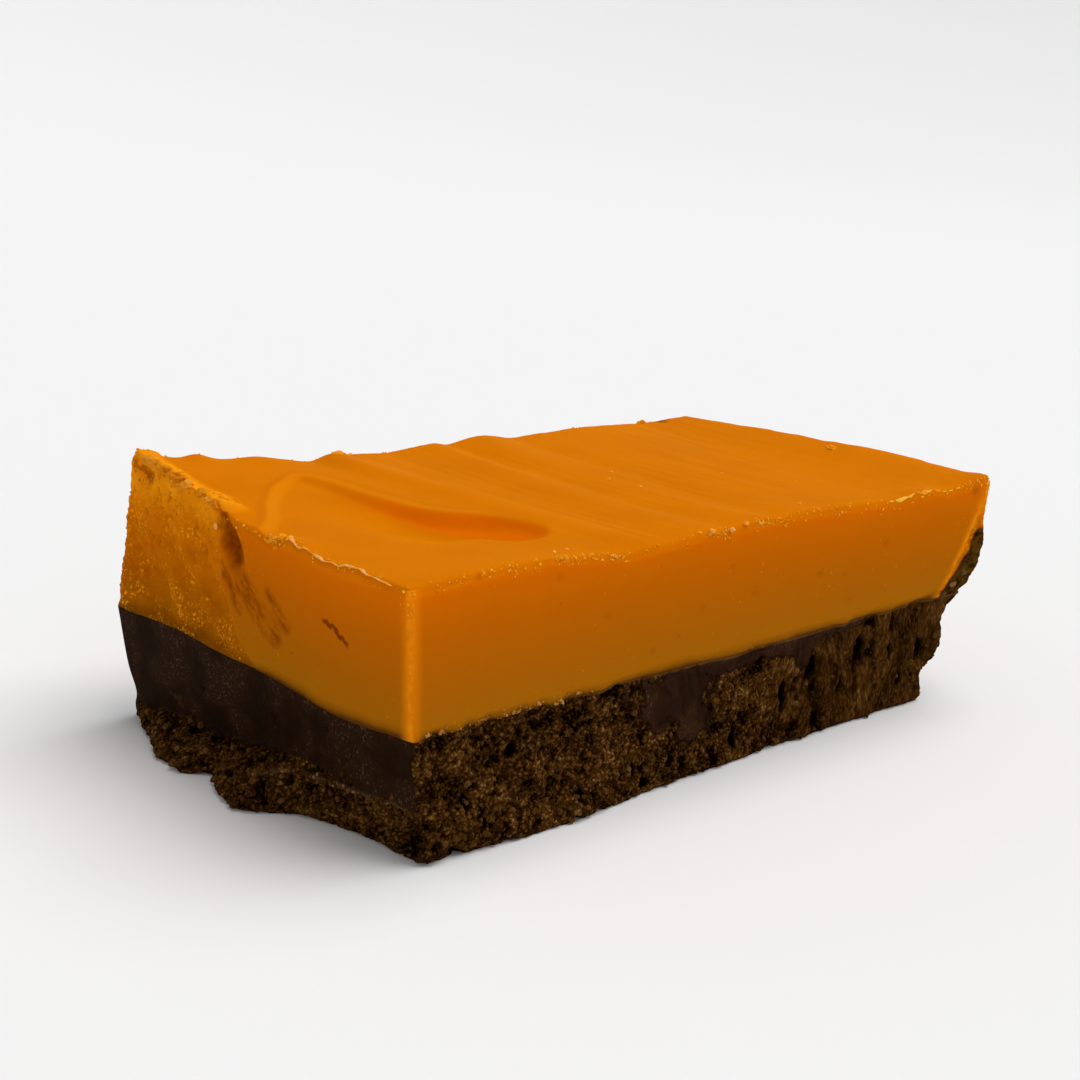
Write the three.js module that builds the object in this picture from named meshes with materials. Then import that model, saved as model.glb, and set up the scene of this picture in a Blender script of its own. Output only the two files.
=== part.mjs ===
// A slab of two-layer fudge, cut from a tray: orange fudge poured over chocolate fudge.
// Millimetres, +Z up. X runs along the slab, -Y is its long cut face and -X its short cut face.
// The slab stands on its flat foot, and the origin is the middle of the foot's bounding box.
import {
  Box3, BufferAttribute, BufferGeometry, CatmullRomCurve3, Group, MathUtils, Mesh,
  MeshStandardMaterial, ShapeUtils, Vector2, Vector3,
} from 'three';
import { ParametricGeometry } from 'three/addons/geometries/ParametricGeometry.js';
import { mergeGeometries, mergeVertices } from 'three/addons/utils/BufferGeometryUtils.js';

const { clamp, lerp, smoothstep } = MathUtils;

// Driving sizes of the slab
const TOP_HEIGHT = 31.9;
const SEAM_HEIGHT = 15.2;
const SEAM_GAP = 0.3;
const SLAB_LENGTH = 99;
const SLAB_WIDTH = 57.5;

// The left-hand corners, near and far, at the foot, the seam and the top: the knife undercut them
const NEAR_LEFT = [[-47.6, -29.5], [-49.5, -29.3], [-50.5, -28.2]];
const FAR_LEFT = [[-50.2, 28.6], [-52, 30.3], [-50.3, 30.3]];
// Y of the right-hand corners, near and far, at the same three levels
const NEAR_RIGHT_Y = [-28.4, -28.3, -29.2];
const FAR_RIGHT_Y = [28.3, 28, 27.3];
// How far along X the torn right-hand end reaches, by height: the orange layer overhangs the chocolate
const RIGHT_END = [
  [0, 47.6], [3, 47.2], [4.4, 46.9], [6, 49.4], [9, 50.5], [12, 50], [13.6, 51], [15.2, 53.6],
  [16.6, 56.8], [19, 58.6], [22, 58.8], [26, 58.4], [32, 58.6],
];
// The far corner of that end reaches less, by this much at the foot and at the top, and the same
// profile climbs faster there. Between the corners the tear wanders: reach and grain size.
const RIGHT_END_SKEW = [0.9, 5.4];
const FAR_END_CLIMB = 0.7;
const RIGHT_END_WANDER = [1.5, 11];

// Mesh steps along the slab, across it, and up each layer
const STEPS_ALONG = 56;
const STEPS_ACROSS = 32;
const CORNER_STEP = 0.9;
// How the edges are eased: upright corners, the top edge down and inwards, and the foot inwards
const CORNER_ROUNDING = 0.45;
const EDGE_DROP = 0.35;
const EDGE_TURN_IN = 0.3;
const FOOT_TUCK = 0.5;
const FOOT_TUCK_HEIGHT = 0.8;
// Reach over which the reliefs of two sides join beside an upright corner
const CORNER_JOIN = 2.8;
const CHOCOLATE_LEVELS = [0, 0.05, 0.12, 0.2, 0.29, 0.4, 0.52, 0.64, 0.76, 0.88, 0.96, 1];
const ORANGE_LEVELS = [1, 1.07, 1.2, 1.33, 1.46, 1.6, 1.74, 1.87, 1.96, 2];

// Sides in the order of their corners
const NEAR = 0;
const RIGHT = 1;
const FAR = 2;
const LEFT = 3;

// Broad swells and hollows of the top: centre x, y, reach along x and y, and height
const SWELLS = [
  [-49, 31, 15, 13, 2.5], [-50.5, 19, 3.4, 8, 1.3], [-35, -30, 10, 5, 0.8], [-50, -6, 3, 3.4, 0.9],
  [-15.5, -30, 4.5, 4, -0.8], [14, -29, 16, 7, 0.6], [41, -28.5, 3, 2.4, 0.5], [55, -2, 8, 24, 1],
  [57, -29, 4, 4, 0.8], [-22.4, 30, 2.6, 7, -0.5], [-49.5, 30, 3, 3, 0.9], [-40.5, 31, 2.2, 3, 0.8],
  [-31.5, 31, 4, 5, 0.7], [8, 30, 6, 9, 0.4],
];

// Ridges that the spreading spatula left: x at the far edge, the middle and the near edge, height, width.
// They are highest at the far edge, and this share of the height is left on the near half
const STROKES = [
  [-19.5, -17.8, -13.7, 0.5, 2.4], [-10, -10.5, -8.6, -0.3, 3.4], [-1.6, -4.8, -3.5, 0.35, 2.6],
  [1.2, -0.6, 1.4, -0.25, 2], [7.2, 5.4, 6.2, 0.35, 3.2], [13.8, 11.4, 10.6, -0.35, 2.6],
  [28, 23, 18, 0.3, 6], [42, 38, 36, -0.25, 5],
];
const STROKE_LEFT_NEAR = 0.45;

// The last swipe of the spatula: a shallow dish, open to the near left corner, and a scooped groove
const DISH_DEPTH = 0.55;
const DISH_WALL = 2;
const DISH_RIM = [
  [-60, -6], [-48.5, 2], [-41.8, 11.1], [-36.3, 17.2], [-30.6, 20.4], [-28.4, 16], [-27.9, 7],
  [-25.9, -2.1], [-21.4, -7.3], [-18.5, -11.8], [-19.6, -17.6], [-30, -22], [-60, -34],
];
const GROOVE_DEPTH = 1.9;
const GROOVE_SPINE = [[-32, 18.5], [-31.4, 10], [-30.5, 3], [-29.2, -4], [-25.6, -9.8], [-23.6, -14.4]];
const GROOVE_STEEP_SIDE = 3.2;
const GROOVE_GENTLE_SIDE = 12;
const GROOVE_TIP_RADIUS = 4.9;

// Crumb pressed out at the foot of the left face, in two lobes: y and how far it reaches
const FOOT_SPREAD = [
  [-27, 0.9], [-19, 1.3], [-10.6, 3.3], [-7.1, 7], [-4.4, 8.6], [0, 7.4],
  [5.6, 4.6], [8, 7.2], [14.3, 6.6], [21, 3.4], [28, 0],
];
const FOOT_SPREAD_ABOVE_CUT = 2;
// Hollow under the near part of the smooth cut: depth, height of its middle and half height
const UNDERCUT = [1.5, 3.2, 1.5];
// Height of the lower edge of the smooth cut on the left face: y and height
const CUT_FOOT = [[-28, 6.2], [-18, 5.4], [-8, 4.6], [4, 2.6], [13, 2], [28, 0.6]];
// The long face's foot bulges towards its left end: x, reach, half width
const FOOT_SWELL = [-27, 2.2, 20];

// A gouge that slopes down the left face of the orange: y, z, depth, half width and half length
const GOUGE = [6.1, 29.3, 1.5, 1.3, 3.6];
// Edge of the torn part of the orange on the left face: z and y
const TORN_EDGE = [[15, -0.5], [19, 4.4], [23, 7.1], [31, 8], [34, 12.5]];

// Where the clean cut of the long face ends and the torn corner begins: z and x
const CUT_EDGE = [[15.5, 46.9], [19, 49.7], [24, 52.4], [29, 54.8], [32, 56.2]];

// Crags of torn fudge, coarse and fine: how far back the tear stands, then height and grain size
const CHOCOLATE_CRAGS = { setBack: 0.3, coarse: [0.95, 3.6], fine: [0.45, 2.1] };
const ORANGE_CRAGS = { setBack: 0.6, coarse: [0.6, 4.2], fine: [0.4, 2.2] };

// Fudge that the knife left smooth on the long face: centre x, z and reach along x and z
const SMOOTH_PATCHES = [[-6.5, 11, 9, 6.4], [15, 13.4, 12, 3.4]];

// Even random number in 0..1 for a lattice point, and smooth noise in -1..1 on cells of a size
function latticeValue(i, j, k) {
  const wave = Math.sin(i * 127.1 + j * 311.7 + k * 74.7) * 43758.5453;
  return wave - Math.floor(wave);
}

function grain(x, y, z, size) {
  const cell = [x / size, y / size, z / size];
  const low = cell.map(Math.floor);
  const blend = cell.map((value, axis) => smoothstep(value - low[axis], 0, 1));
  let sum = 0;
  for (let corner = 0; corner < 8; corner += 1) {
    const step = [corner & 1, (corner >> 1) & 1, corner >> 2];
    const weight = step.reduce((product, s, axis) => product * (s ? blend[axis] : 1 - blend[axis]), 1);
    sum += weight * latticeValue(low[0] + step[0], low[1] + step[1], low[2] + step[2]);
  }
  return 2 * sum - 1;
}

function bump(distance) {
  return Math.exp(-distance * distance);
}

// Piecewise straight line through [input, output] pairs in rising order of input
function alongLine(pairs, input) {
  const next = pairs.findIndex(([at]) => at > input);
  if (next === 0) return pairs[0][1];
  if (next < 0) return pairs[pairs.length - 1][1];
  const [before, after] = [pairs[next - 1], pairs[next]];
  return lerp(before[1], after[1], (input - before[0]) / (after[0] - before[0]));
}

// Distance from a point to a path of straight pieces, the share of the path passed at the nearest
// point, and the side of the path that the point is on: above 0 to the right of its direction
function nearestOnPath(path, x, y) {
  let best = { distance: Infinity, share: 0, side: 1 };
  for (let i = 0; i + 1 < path.length; i += 1) {
    const [a, b] = [path[i], path[i + 1]];
    const [dx, dy] = [b.x - a.x, b.y - a.y];
    const along = clamp(((x - a.x) * dx + (y - a.y) * dy) / (dx * dx + dy * dy), 0, 1);
    const distance = Math.hypot(x - a.x - along * dx, y - a.y - along * dy);
    if (distance < best.distance) {
      const cross = (x - a.x) * dy - (y - a.y) * dx;
      best = { distance, share: (i + along) / (path.length - 1), side: Math.sign(cross) || 1 };
    }
  }
  return best;
}

function smoothPath(points, pieces) {
  const corners = points.map(([x, y]) => new Vector3(x, y, 0));
  return new CatmullRomCurve3(corners, false, 'catmullrom', 0.5).getPoints(pieces);
}

const dishRim = smoothPath(DISH_RIM, 88);
const grooveSpine = smoothPath(GROOVE_SPINE, 40);

// The dish drops just inside its rim and fades out towards the near edge
function dishDepth(x, y) {
  const rim = nearestOnPath(dishRim, x, y);
  if (rim.side < 0) return 0;
  return DISH_DEPTH * smoothstep(rim.distance, 0, DISH_WALL) * smoothstep(y, -25, -8);
}

// The groove is steep on the side that faces away from the left end, and deepens towards its round tip
function grooveDepth(x, y) {
  const spine = nearestOnPath(grooveSpine, x, y);
  const isGentle = spine.side > 0;
  const reach = isGentle
    ? lerp(GROOVE_GENTLE_SIDE, GROOVE_TIP_RADIUS, smoothstep(spine.share, 0.6, 1))
    : lerp(GROOVE_STEEP_SIDE, GROOVE_TIP_RADIUS, smoothstep(spine.share, 0.4, 0.9));
  const across = Math.min(1, spine.distance / reach);
  const crisp = isGentle ? smoothstep(spine.share, 0.6, 1) : 1;
  const profile = lerp(1 - smoothstep(across, 0, 1), 1 - across * across, crisp);
  return GROOVE_DEPTH * smoothstep(spine.share, 0, 0.8) * profile;
}

function strokeHeight(x, y) {
  const share = clamp(y / SLAB_WIDTH + 0.5, 0, 1);
  const fade = lerp(STROKE_LEFT_NEAR, 1, smoothstep(y, -5, 26));
  return fade * STROKES.reduce((sum, [far, middle, near, height, width]) => {
    const crest = lerp(lerp(near, middle, share), lerp(middle, far, share), share);
    return sum + height * bump((x - crest) / width);
  }, 0);
}

function topHeight(x, y) {
  const swell = SWELLS.reduce(
    (sum, [cx, cy, rx, ry, height]) => sum + height * bump(Math.hypot((x - cx) / rx, (y - cy) / ry)), 0);
  const lumps = 0.35 * grain(x, y, 0, 3.2) * smoothstep(-x, 41, 48) * smoothstep(y, 6, 12);
  return TOP_HEIGHT + swell + lumps + strokeHeight(x, y) - dishDepth(x, y) - grooveDepth(x, y);
}

// Height of the seam between the layers, which dips along the left face
function seamHeight(x, y) {
  const byLeftFace = bump((x + 50) / 12);
  const wave = 0.6 * bump((y - 17) / 8) - 1.1 * bump((y + 17) / 9);
  return SEAM_HEIGHT + 0.006 * x + wave * byLeftFace + 0.2 * grain(x, y, 5, 8);
}

function crags({ coarse, fine }, x, y, z) {
  return coarse[0] * grain(x, y, z, coarse[1]) + fine[0] * grain(x + 31, y, z, fine[1]);
}

// Torn fudge stands back from the cut. The tray flattened the crags of the chocolate at the foot.
function tornChocolate(x, y, z) {
  const flattened = lerp(0.35, 1, smoothstep(z, 0, 3));
  return crags(CHOCOLATE_CRAGS, x, y, z) * flattened - CHOCOLATE_CRAGS.setBack;
}

function tornOrange(x, y, z) {
  return crags(ORANGE_CRAGS, x, y, z) - ORANGE_CRAGS.setBack;
}

// Share of a point on the long face that lies in one of its smooth patches: 1 inside, 0 outside
function smoothShare(x, z) {
  return SMOOTH_PATCHES.reduce((most, [cx, cz, rx, rz]) => {
    const outOfPatch = smoothstep(Math.hypot((x - cx) / rx, (z - cz) / rz), 0.8, 1.1);
    return Math.max(most, 1 - outOfPatch);
  }, 0);
}

// How far each face stands out from the plain slab, by layer
function nearRelief(x, y, z, inOrange) {
  if (inOrange) {
    const pastCut = Math.max(0, x - alongLine(CUT_EDGE, z));
    const torn = 0.3 * Math.min(1, pastCut) * grain(x, y, z, 2.4) - 0.12 * pastCut;
    return 0.2 * grain(x, y, z, 11) + torn;
  }
  // Towards the right-hand end the tear dragged the crags tall and narrow
  const dragged = lerp(z, z / 2.4, smoothstep(x, 0, 25));
  const [at, reach, half] = FOOT_SWELL;
  const foot = reach * bump((x - at) / half) * (1 - smoothstep(z, 0, 9));
  return tornChocolate(x, y, dragged) * (1 - smoothShare(x, z)) + foot;
}

function rightRelief(x, y, z, inOrange) {
  const [reach, size] = RIGHT_END_WANDER;
  const fromNearEdge = smoothstep(y, -28, -16);
  const wander = reach * fromNearEdge * grain(0, y, z, size);
  return wander + (inOrange ? 1.2 * tornOrange(x, y, z) : tornChocolate(x, y, z));
}

function farRelief(x, y, z, inOrange) {
  if (inOrange) return 0.25 * grain(x, y, z, 10);
  const torn = 1 - smoothstep(z + 3 * grain(x, y, 2, 12), 6, 10);
  return torn * tornChocolate(x, y, z);
}

// The left face: smooth beside the near corner, torn towards the far one, gouged between the two
function leftOrangeRelief(y, z, x) {
  const splitLine = alongLine(TORN_EDGE, z);
  const torn = smoothstep(y - splitLine, -0.6, 1.4);
  const [gougeY, gougeZ, depth, halfWidth, halfLength] = GOUGE;
  const across = (y - gougeY - z + gougeZ) * Math.SQRT1_2;
  const down = (y - gougeY + z - gougeZ) * Math.SQRT1_2;
  const gouge = depth * bump(across / halfWidth) * bump(down / halfLength);
  return torn * tornOrange(x, y, z) + 0.15 * grain(x, y, z, 9) - gouge;
}

function leftChocolateRelief(y, z, x) {
  const cutLine = alongLine(CUT_FOOT, y);
  const torn = 1 - smoothstep(z - cutLine, -0.7, 0.4);
  const [depth, middle, half] = UNDERCUT;
  const undercut = depth * smoothstep(-y, 8, 14) * bump((z - middle) / half);
  const spreadHeight = cutLine + FOOT_SPREAD_ABOVE_CUT;
  const spread = alongLine(FOOT_SPREAD, y) * Math.max(0, 1 - (z / spreadHeight) ** 2);
  return torn * tornChocolate(x, y, z) - undercut + spread;
}

function leftRelief(x, y, z, inOrange) {
  return inOrange ? leftOrangeRelief(y, z, x) : leftChocolateRelief(y, z, x);
}

const RELIEF = [nearRelief, rightRelief, farRelief, leftRelief];

// Corner of the plan at a level, which is 0 at the foot, 1 at the seam and 2 at the top, and a height
function cornerAt(index, level, z) {
  const low = Math.min(Math.floor(level), 1);
  const between = (values) => lerp(values[low], values[low + 1], level - low);
  const place = (corners) => new Vector2(
    between(corners.map(([x]) => x)), between(corners.map((corner) => corner[1])));
  const nearEnd = alongLine(RIGHT_END, z);
  const skew = lerp(RIGHT_END_SKEW[0], RIGHT_END_SKEW[1], z / TOP_HEIGHT);
  const farEnd = alongLine(RIGHT_END, z * FAR_END_CLIMB) - skew;
  return [
    place(NEAR_LEFT), new Vector2(nearEnd, between(NEAR_RIGHT_Y)),
    new Vector2(farEnd, between(FAR_RIGHT_Y)), place(FAR_LEFT),
  ][index % 4];
}

function outwardOf(start, end) {
  return new Vector2(end.y - start.y, start.x - end.x).normalize();
}

// Diagonal step towards the middle of the slab
function inwardsFrom({ x, y }) {
  return new Vector2(-Math.sign(x), -Math.sign(y));
}

// Place in plan of a wall point at share t of a side. Beside a corner the next side's relief joins in.
function wallPlan(side, t, level, z, inOrange) {
  const [start, end] = [cornerAt(side, level, z), cornerAt(side + 1, level, z)];
  const plain = start.clone().lerp(end, t);
  const footTuck = FOOT_TUCK * (1 - smoothstep(z, 0, FOOT_TUCK_HEIGHT));
  const relief = RELIEF[side](plain.x, plain.y, z, inOrange) - footTuck;
  const point = plain.clone().addScaledVector(outwardOf(start, end), relief);
  const toCorner = Math.min(t, 1 - t) * start.distanceTo(end);
  const nextSide = (side + (t < 0.5 ? 3 : 1)) % 4;
  const [corner, nextStart, nextEnd] = [
    t < 0.5 ? start : end, cornerAt(nextSide, level, z), cornerAt(nextSide + 1, level, z),
  ];
  const nextRelief = RELIEF[nextSide](corner.x, corner.y, z, inOrange) - footTuck;
  const join = 1 - smoothstep(toCorner, 0, CORNER_JOIN);
  point.addScaledVector(outwardOf(nextStart, nextEnd), nextRelief * join);
  if (toCorner > 0) return point;
  return point.addScaledVector(inwardsFrom(plain), CORNER_ROUNDING);
}

function wallPoint(side, t, level, inOrange) {
  const seamPlan = wallPlan(side, t, 1, SEAM_HEIGHT, false);
  const seam = seamHeight(seamPlan.x, seamPlan.y);
  if (level === 1) return [seamPlan.x, seamPlan.y, seam];
  if (!inOrange) {
    const plan = wallPlan(side, t, level, seam * level, false);
    return [plan.x, plan.y, seam * level];
  }
  const edge = wallPlan(side, t, 2, TOP_HEIGHT, true);
  const z = lerp(seam, topHeight(edge.x, edge.y) - EDGE_DROP, level - 1);
  if (level === 2) return [edge.x, edge.y, z];
  const plan = wallPlan(side, t, level, z, true);
  plan.addScaledVector(inwardsFrom(plan), EDGE_TURN_IN * smoothstep(level, 1.93, 2));
  return [plan.x, plan.y, z];
}

// Share of a side passed at a mesh step: short steps beside the corners, even ones between them
function stepShare(index, steps, length) {
  if (index === 0 || index === steps) return index / steps;
  const even = (index - 1) / (steps - 2);
  return (CORNER_STEP + even * (length - 2 * CORNER_STEP)) / length;
}

// Side and share of the nth wall station, counted counter-clockwise from the near left corner
const STATIONS = 2 * (STEPS_ALONG + STEPS_ACROSS);
function stationAt(number) {
  let index = number % STATIONS;
  for (const side of [NEAR, RIGHT, FAR, LEFT]) {
    const alongSlab = side === NEAR || side === FAR;
    const steps = alongSlab ? STEPS_ALONG : STEPS_ACROSS;
    if (index < steps) return [side, stepShare(index, steps, alongSlab ? SLAB_LENGTH : SLAB_WIDTH)];
    index -= steps;
  }
  return [NEAR, 0];
}

function wallGeometry(levels, inOrange, lift) {
  const place = (u, v, target) => {
    const [side, t] = stationAt(Math.round(u * STATIONS));
    const level = levels[Math.round(v * (levels.length - 1))];
    const [x, y, z] = wallPoint(side, t, level, inOrange);
    target.set(x, y, z + (level === 1 ? lift : 0));
  };
  return new ParametricGeometry(place, STATIONS, levels.length - 1);
}

// The top sheet is blended inwards from the four top edges
function topGeometry() {
  const edge = (side, t) => wallPoint(side, t, 2, true);
  const place = (u, v, target) => {
    const [i, j] = [Math.round(u * STEPS_ALONG), Math.round(v * STEPS_ACROSS)];
    const s = stepShare(i, STEPS_ALONG, SLAB_LENGTH);
    const t = stepShare(j, STEPS_ACROSS, SLAB_WIDTH);
    const [near, right, far, left] = [edge(NEAR, s), edge(RIGHT, t), edge(FAR, 1 - s), edge(LEFT, 1 - t)];
    const corners = [edge(NEAR, 0), edge(RIGHT, 0), edge(FAR, 0), edge(LEFT, 0)];
    const blend = (axis) => lerp(near[axis], far[axis], t) + lerp(left[axis], right[axis], s)
      - lerp(lerp(corners[0][axis], corners[1][axis], s), lerp(corners[3][axis], corners[2][axis], s), t);
    if (i === 0 || j === 0 || i === STEPS_ALONG || j === STEPS_ACROSS) {
      const rim = [j === 0 && near, j === STEPS_ACROSS && far, i === 0 && left, right].find((side) => side);
      target.set(rim[0], rim[1], rim[2]);
    } else {
      target.set(blend(0), blend(1), topHeight(blend(0), blend(1)));
    }
  };
  return new ParametricGeometry(place, STEPS_ALONG, STEPS_ACROSS);
}

// A lid over one ring of wall stations, facing up or down
function capGeometry(level, lift, facesUp) {
  const ring = Array.from({ length: STATIONS }, (_, number) => {
    const [x, y, z] = wallPoint(...stationAt(number), level, false);
    return new Vector3(x, y, z + lift);
  });
  const outline = ring.map((point) => new Vector2(point.x, point.y));
  const faces = ShapeUtils.triangulateShape(outline, []);
  const cap = new BufferGeometry().setFromPoints(ring);
  cap.setIndex(faces.flatMap(([a, b, c]) => (facesUp ? [a, b, c] : [a, c, b])));
  return cap;
}

// Welds the pieces of one layer's skin into a closed body
function closedBody(pieces) {
  const bare = pieces.map((piece) => {
    const geometry = new BufferGeometry();
    geometry.setAttribute('position', new BufferAttribute(piece.attributes.position.array, 3));
    geometry.setIndex(Array.from(piece.index.array));
    return geometry;
  });
  const body = mergeVertices(mergeGeometries(bare), 1e-3);
  body.computeVertexNormals();
  return body;
}

function orangeLayer() {
  const lift = SEAM_GAP / 2;
  const geometry = closedBody([
    topGeometry(), wallGeometry(ORANGE_LEVELS, true, lift), capGeometry(1, lift, false),
  ]);
  const material = new MeshStandardMaterial({ color: 0xd97a08, roughness: 0.5, metalness: 0 });
  const layer = new Mesh(geometry, material);
  layer.name = 'orange_fudge';
  return layer;
}

function chocolateLayer() {
  const lift = -SEAM_GAP / 2;
  const geometry = closedBody([
    capGeometry(1, lift, true), wallGeometry(CHOCOLATE_LEVELS, false, lift), capGeometry(0, 0, false),
  ]);
  const material = new MeshStandardMaterial({ color: 0x2a1a12, roughness: 0.7, metalness: 0 });
  const layer = new Mesh(geometry, material);
  layer.name = 'chocolate_fudge';
  return layer;
}

const slab = new Group();
slab.add(chocolateLayer(), orangeLayer());
const middle = new Box3().setFromObject(slab).getCenter(new Vector3());
slab.position.set(-middle.x, -middle.y, 0);

export default slab;
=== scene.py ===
# %% [markdown]
# # A slab of orange and chocolate fudge
# The real thing was cut from a tray: orange fudge was poured over a crumbly chocolate fudge, and
# its top was spread with a spatula. A knife cut the long side and part of the short side, and
# the other faces were torn. This lesson dresses the plain solids of that slab: it gives them a
# finer skin, crumbs, and finishes that scatter light as fudge does.

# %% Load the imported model
import math

import bmesh
import bpy
import numpy as np
from mathutils import Matrix, Vector


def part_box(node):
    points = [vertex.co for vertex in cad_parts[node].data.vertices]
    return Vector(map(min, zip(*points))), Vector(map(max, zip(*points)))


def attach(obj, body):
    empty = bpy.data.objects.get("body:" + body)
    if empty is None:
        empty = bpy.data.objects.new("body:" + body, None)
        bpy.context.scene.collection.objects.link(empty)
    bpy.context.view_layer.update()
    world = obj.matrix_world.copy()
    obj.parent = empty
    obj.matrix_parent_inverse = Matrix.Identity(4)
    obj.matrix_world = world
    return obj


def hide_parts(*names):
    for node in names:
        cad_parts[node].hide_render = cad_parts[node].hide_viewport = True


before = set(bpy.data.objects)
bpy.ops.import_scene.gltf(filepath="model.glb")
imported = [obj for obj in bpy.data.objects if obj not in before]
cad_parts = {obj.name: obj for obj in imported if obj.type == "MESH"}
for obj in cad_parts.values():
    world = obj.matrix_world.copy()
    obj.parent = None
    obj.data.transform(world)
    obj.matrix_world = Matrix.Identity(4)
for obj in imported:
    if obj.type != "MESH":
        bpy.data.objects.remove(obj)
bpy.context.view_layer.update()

print("solids to dress:", sorted(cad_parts))

# %% [markdown]
# ## The camera
# A camera could be placed by eye, but then nothing that was measured in the picture lines up.
# Here its place, its aim, its roll and its lens were worked out from the corners of the slab, so
# each mark of the real slab can be measured in the picture and put on the model.

# %% Place the camera
MIDDLE_OF_SLAB = (0.664, -0.4544, 0)      # millimetres, in the slab's own measures
MILLIMETRES = 1000
CAMERA_PLACE = (-164.28, -169.51, 86.06)
CAMERA_TURN, CAMERA_HEIGHT, CAMERA_ROLL = (math.radians(a) for a in (-43.202, 14.785, 3.5))
LENS_MM, SENSOR_MM, NEAREST_SEEN = 59.38, 36, 0.01


def to_frame(points):
    return (np.asarray(points) - MIDDLE_OF_SLAB) / MILLIMETRES


def new_object(name, data):
    piece = bpy.data.objects.new(name, data)
    bpy.context.collection.objects.link(piece)
    return piece


def aimed(place, turn, height, roll):
    flat = math.cos(height)
    back = np.array([math.sin(turn) * flat, -math.cos(turn) * flat, math.sin(height)])
    level = np.array([math.cos(turn), math.sin(turn), 0])
    up = np.cross(back, level)
    right = math.cos(roll) * level + math.sin(roll) * up
    up = math.cos(roll) * up - math.sin(roll) * level
    matrix = Matrix.Identity(4)
    for row in range(3):
        matrix[row][0], matrix[row][1], matrix[row][2] = right[row], up[row], back[row]
        matrix[row][3] = place[row]
    return matrix


camera = new_object("camera", bpy.data.cameras.new("camera"))
camera.data.lens, camera.data.sensor_width = LENS_MM, SENSOR_MM
camera.data.clip_start = NEAREST_SEEN
camera.matrix_world = aimed(to_frame(CAMERA_PLACE), CAMERA_TURN, CAMERA_HEIGHT, CAMERA_ROLL)
bpy.context.scene.camera = camera
print("camera at", [round(v, 4) for v in camera.location])

# %% [markdown]
# ## The measures of the slab
# The solids were made by a few rules: how high the top is at a place, how far each side stands
# out at a height. The same rules with the same sizes are written here again, in millimetres,
# so that the fine skin lies on the solids. More points then catch what the coarse solid can't.

# %% Sizes of the slab
TOP_HEIGHT, SEAM_HEIGHT, ORANGE_DEPTH = 31.9, 15.2, 17.0
SLAB_LENGTH, SLAB_WIDTH = 99.0, 57.5
NEAR_LEFT = [(-47.6, -29.5), (-49.5, -29.3), (-50.5, -28.2)]
FAR_LEFT = [(-50.2, 28.6), (-52, 30.3), (-50.3, 30.3)]
NEAR_RIGHT_Y = [-28.4, -28.3, -29.2]
FAR_RIGHT_Y = [28.3, 28, 27.3]
RIGHT_END = [(0, 47.6), (3, 47.2), (4.4, 46.9), (6, 49.4), (9, 50.5), (12, 50), (13.6, 51), (15.2, 53.6),
             (16.6, 56.8), (19, 58.6), (22, 58.8), (26, 58.4), (32, 58.6)]
RIGHT_END_SKEW = (0.9, 5.4)
FAR_END_CLIMB = 0.7
RIGHT_END_WANDER = (1.5, 11)
CORNER_RADIUS, CORNER_JOIN, EDGE_REACH = 0.75, 2.8, 0.9
EDGE_DROP, EDGE_TURN_IN = 0.35, 0.3
FOOT_TUCK, FOOT_TUCK_HEIGHT = 0.5, 0.8
NEAR, RIGHT, FAR, LEFT = range(4)
print("slab", SLAB_LENGTH, "x", SLAB_WIDTH, "x", TOP_HEIGHT, "mm")

# %% [markdown]
# ## Random but always the same
# Crags and lumps need numbers that look random. A grid of fixed random values, blended smoothly
# between its points, gives a field that wanders at one chosen size. It has no seed to forget:
# the same place always gets the same value.


# %% Smooth steps, bumps and grain
def smoothstep(value, low, high):
    share = np.clip((value - low) / (high - low), 0, 1)
    return share * share * (3 - 2 * share)


def mix(a, b, share):
    return a + (b - a) * share


def bump(distance):
    return np.exp(-distance * distance)


def from_middle(a, b, middle_a, middle_b, reach_a, reach_b):
    return np.hypot((a - middle_a) / reach_a, (b - middle_b) / reach_b)


def along(pairs, value):
    return np.interp(value, [p[0] for p in pairs], [p[1] for p in pairs])


def lattice(i, j, k):
    wave = np.sin(i * 127.1 + j * 311.7 + k * 74.7) * 43758.5453
    return wave - np.floor(wave)


def grain(x, y, z, size):
    cell = [np.asarray(v, float) / size for v in np.broadcast_arrays(x, y, z)]
    low = [np.floor(c) for c in cell]
    share = [smoothstep(c - l, 0, 1) for c, l in zip(cell, low)]
    total = 0
    for corner in range(8):
        step = (corner & 1, corner >> 1 & 1, corner >> 2)
        weight = 1
        for axis in range(3):
            weight = weight * (share[axis] if step[axis] else 1 - share[axis])
        total = total + weight * lattice(*(l + s for l, s in zip(low, step)))
    return 2 * total - 1


print("grain at one place:", round(float(grain(3.0, 4.0, 5.0, 3.6)), 4))

# %% [markdown]
# ## Paths on the top
# The spatula's last swipe left a rim and a groove. Each follows a path, and what matters at a
# place is how far the path is and on which side. A smooth curve through a few points is cut
# into short straight pieces, and the nearest piece answers both questions.


# %% Distance to a path
def smooth_path(points, pieces):
    p = np.array(points, float)
    p = np.vstack([2 * p[0] - p[1], p, 2 * p[-1] - p[-2]])
    out = []
    for number in range(pieces + 1):
        at = number / pieces * (len(points) - 1)
        low = min(int(at), len(points) - 2)
        u = at - low
        a, b, c, d = p[low:low + 4]
        start, end = (c - a) / 2, (d - b) / 2
        out.append(b + start * u + (3 * c - 3 * b - 2 * start - end) * u ** 2
                   + (2 * b - 2 * c + start + end) * u ** 3)
    return np.array(out)


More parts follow.
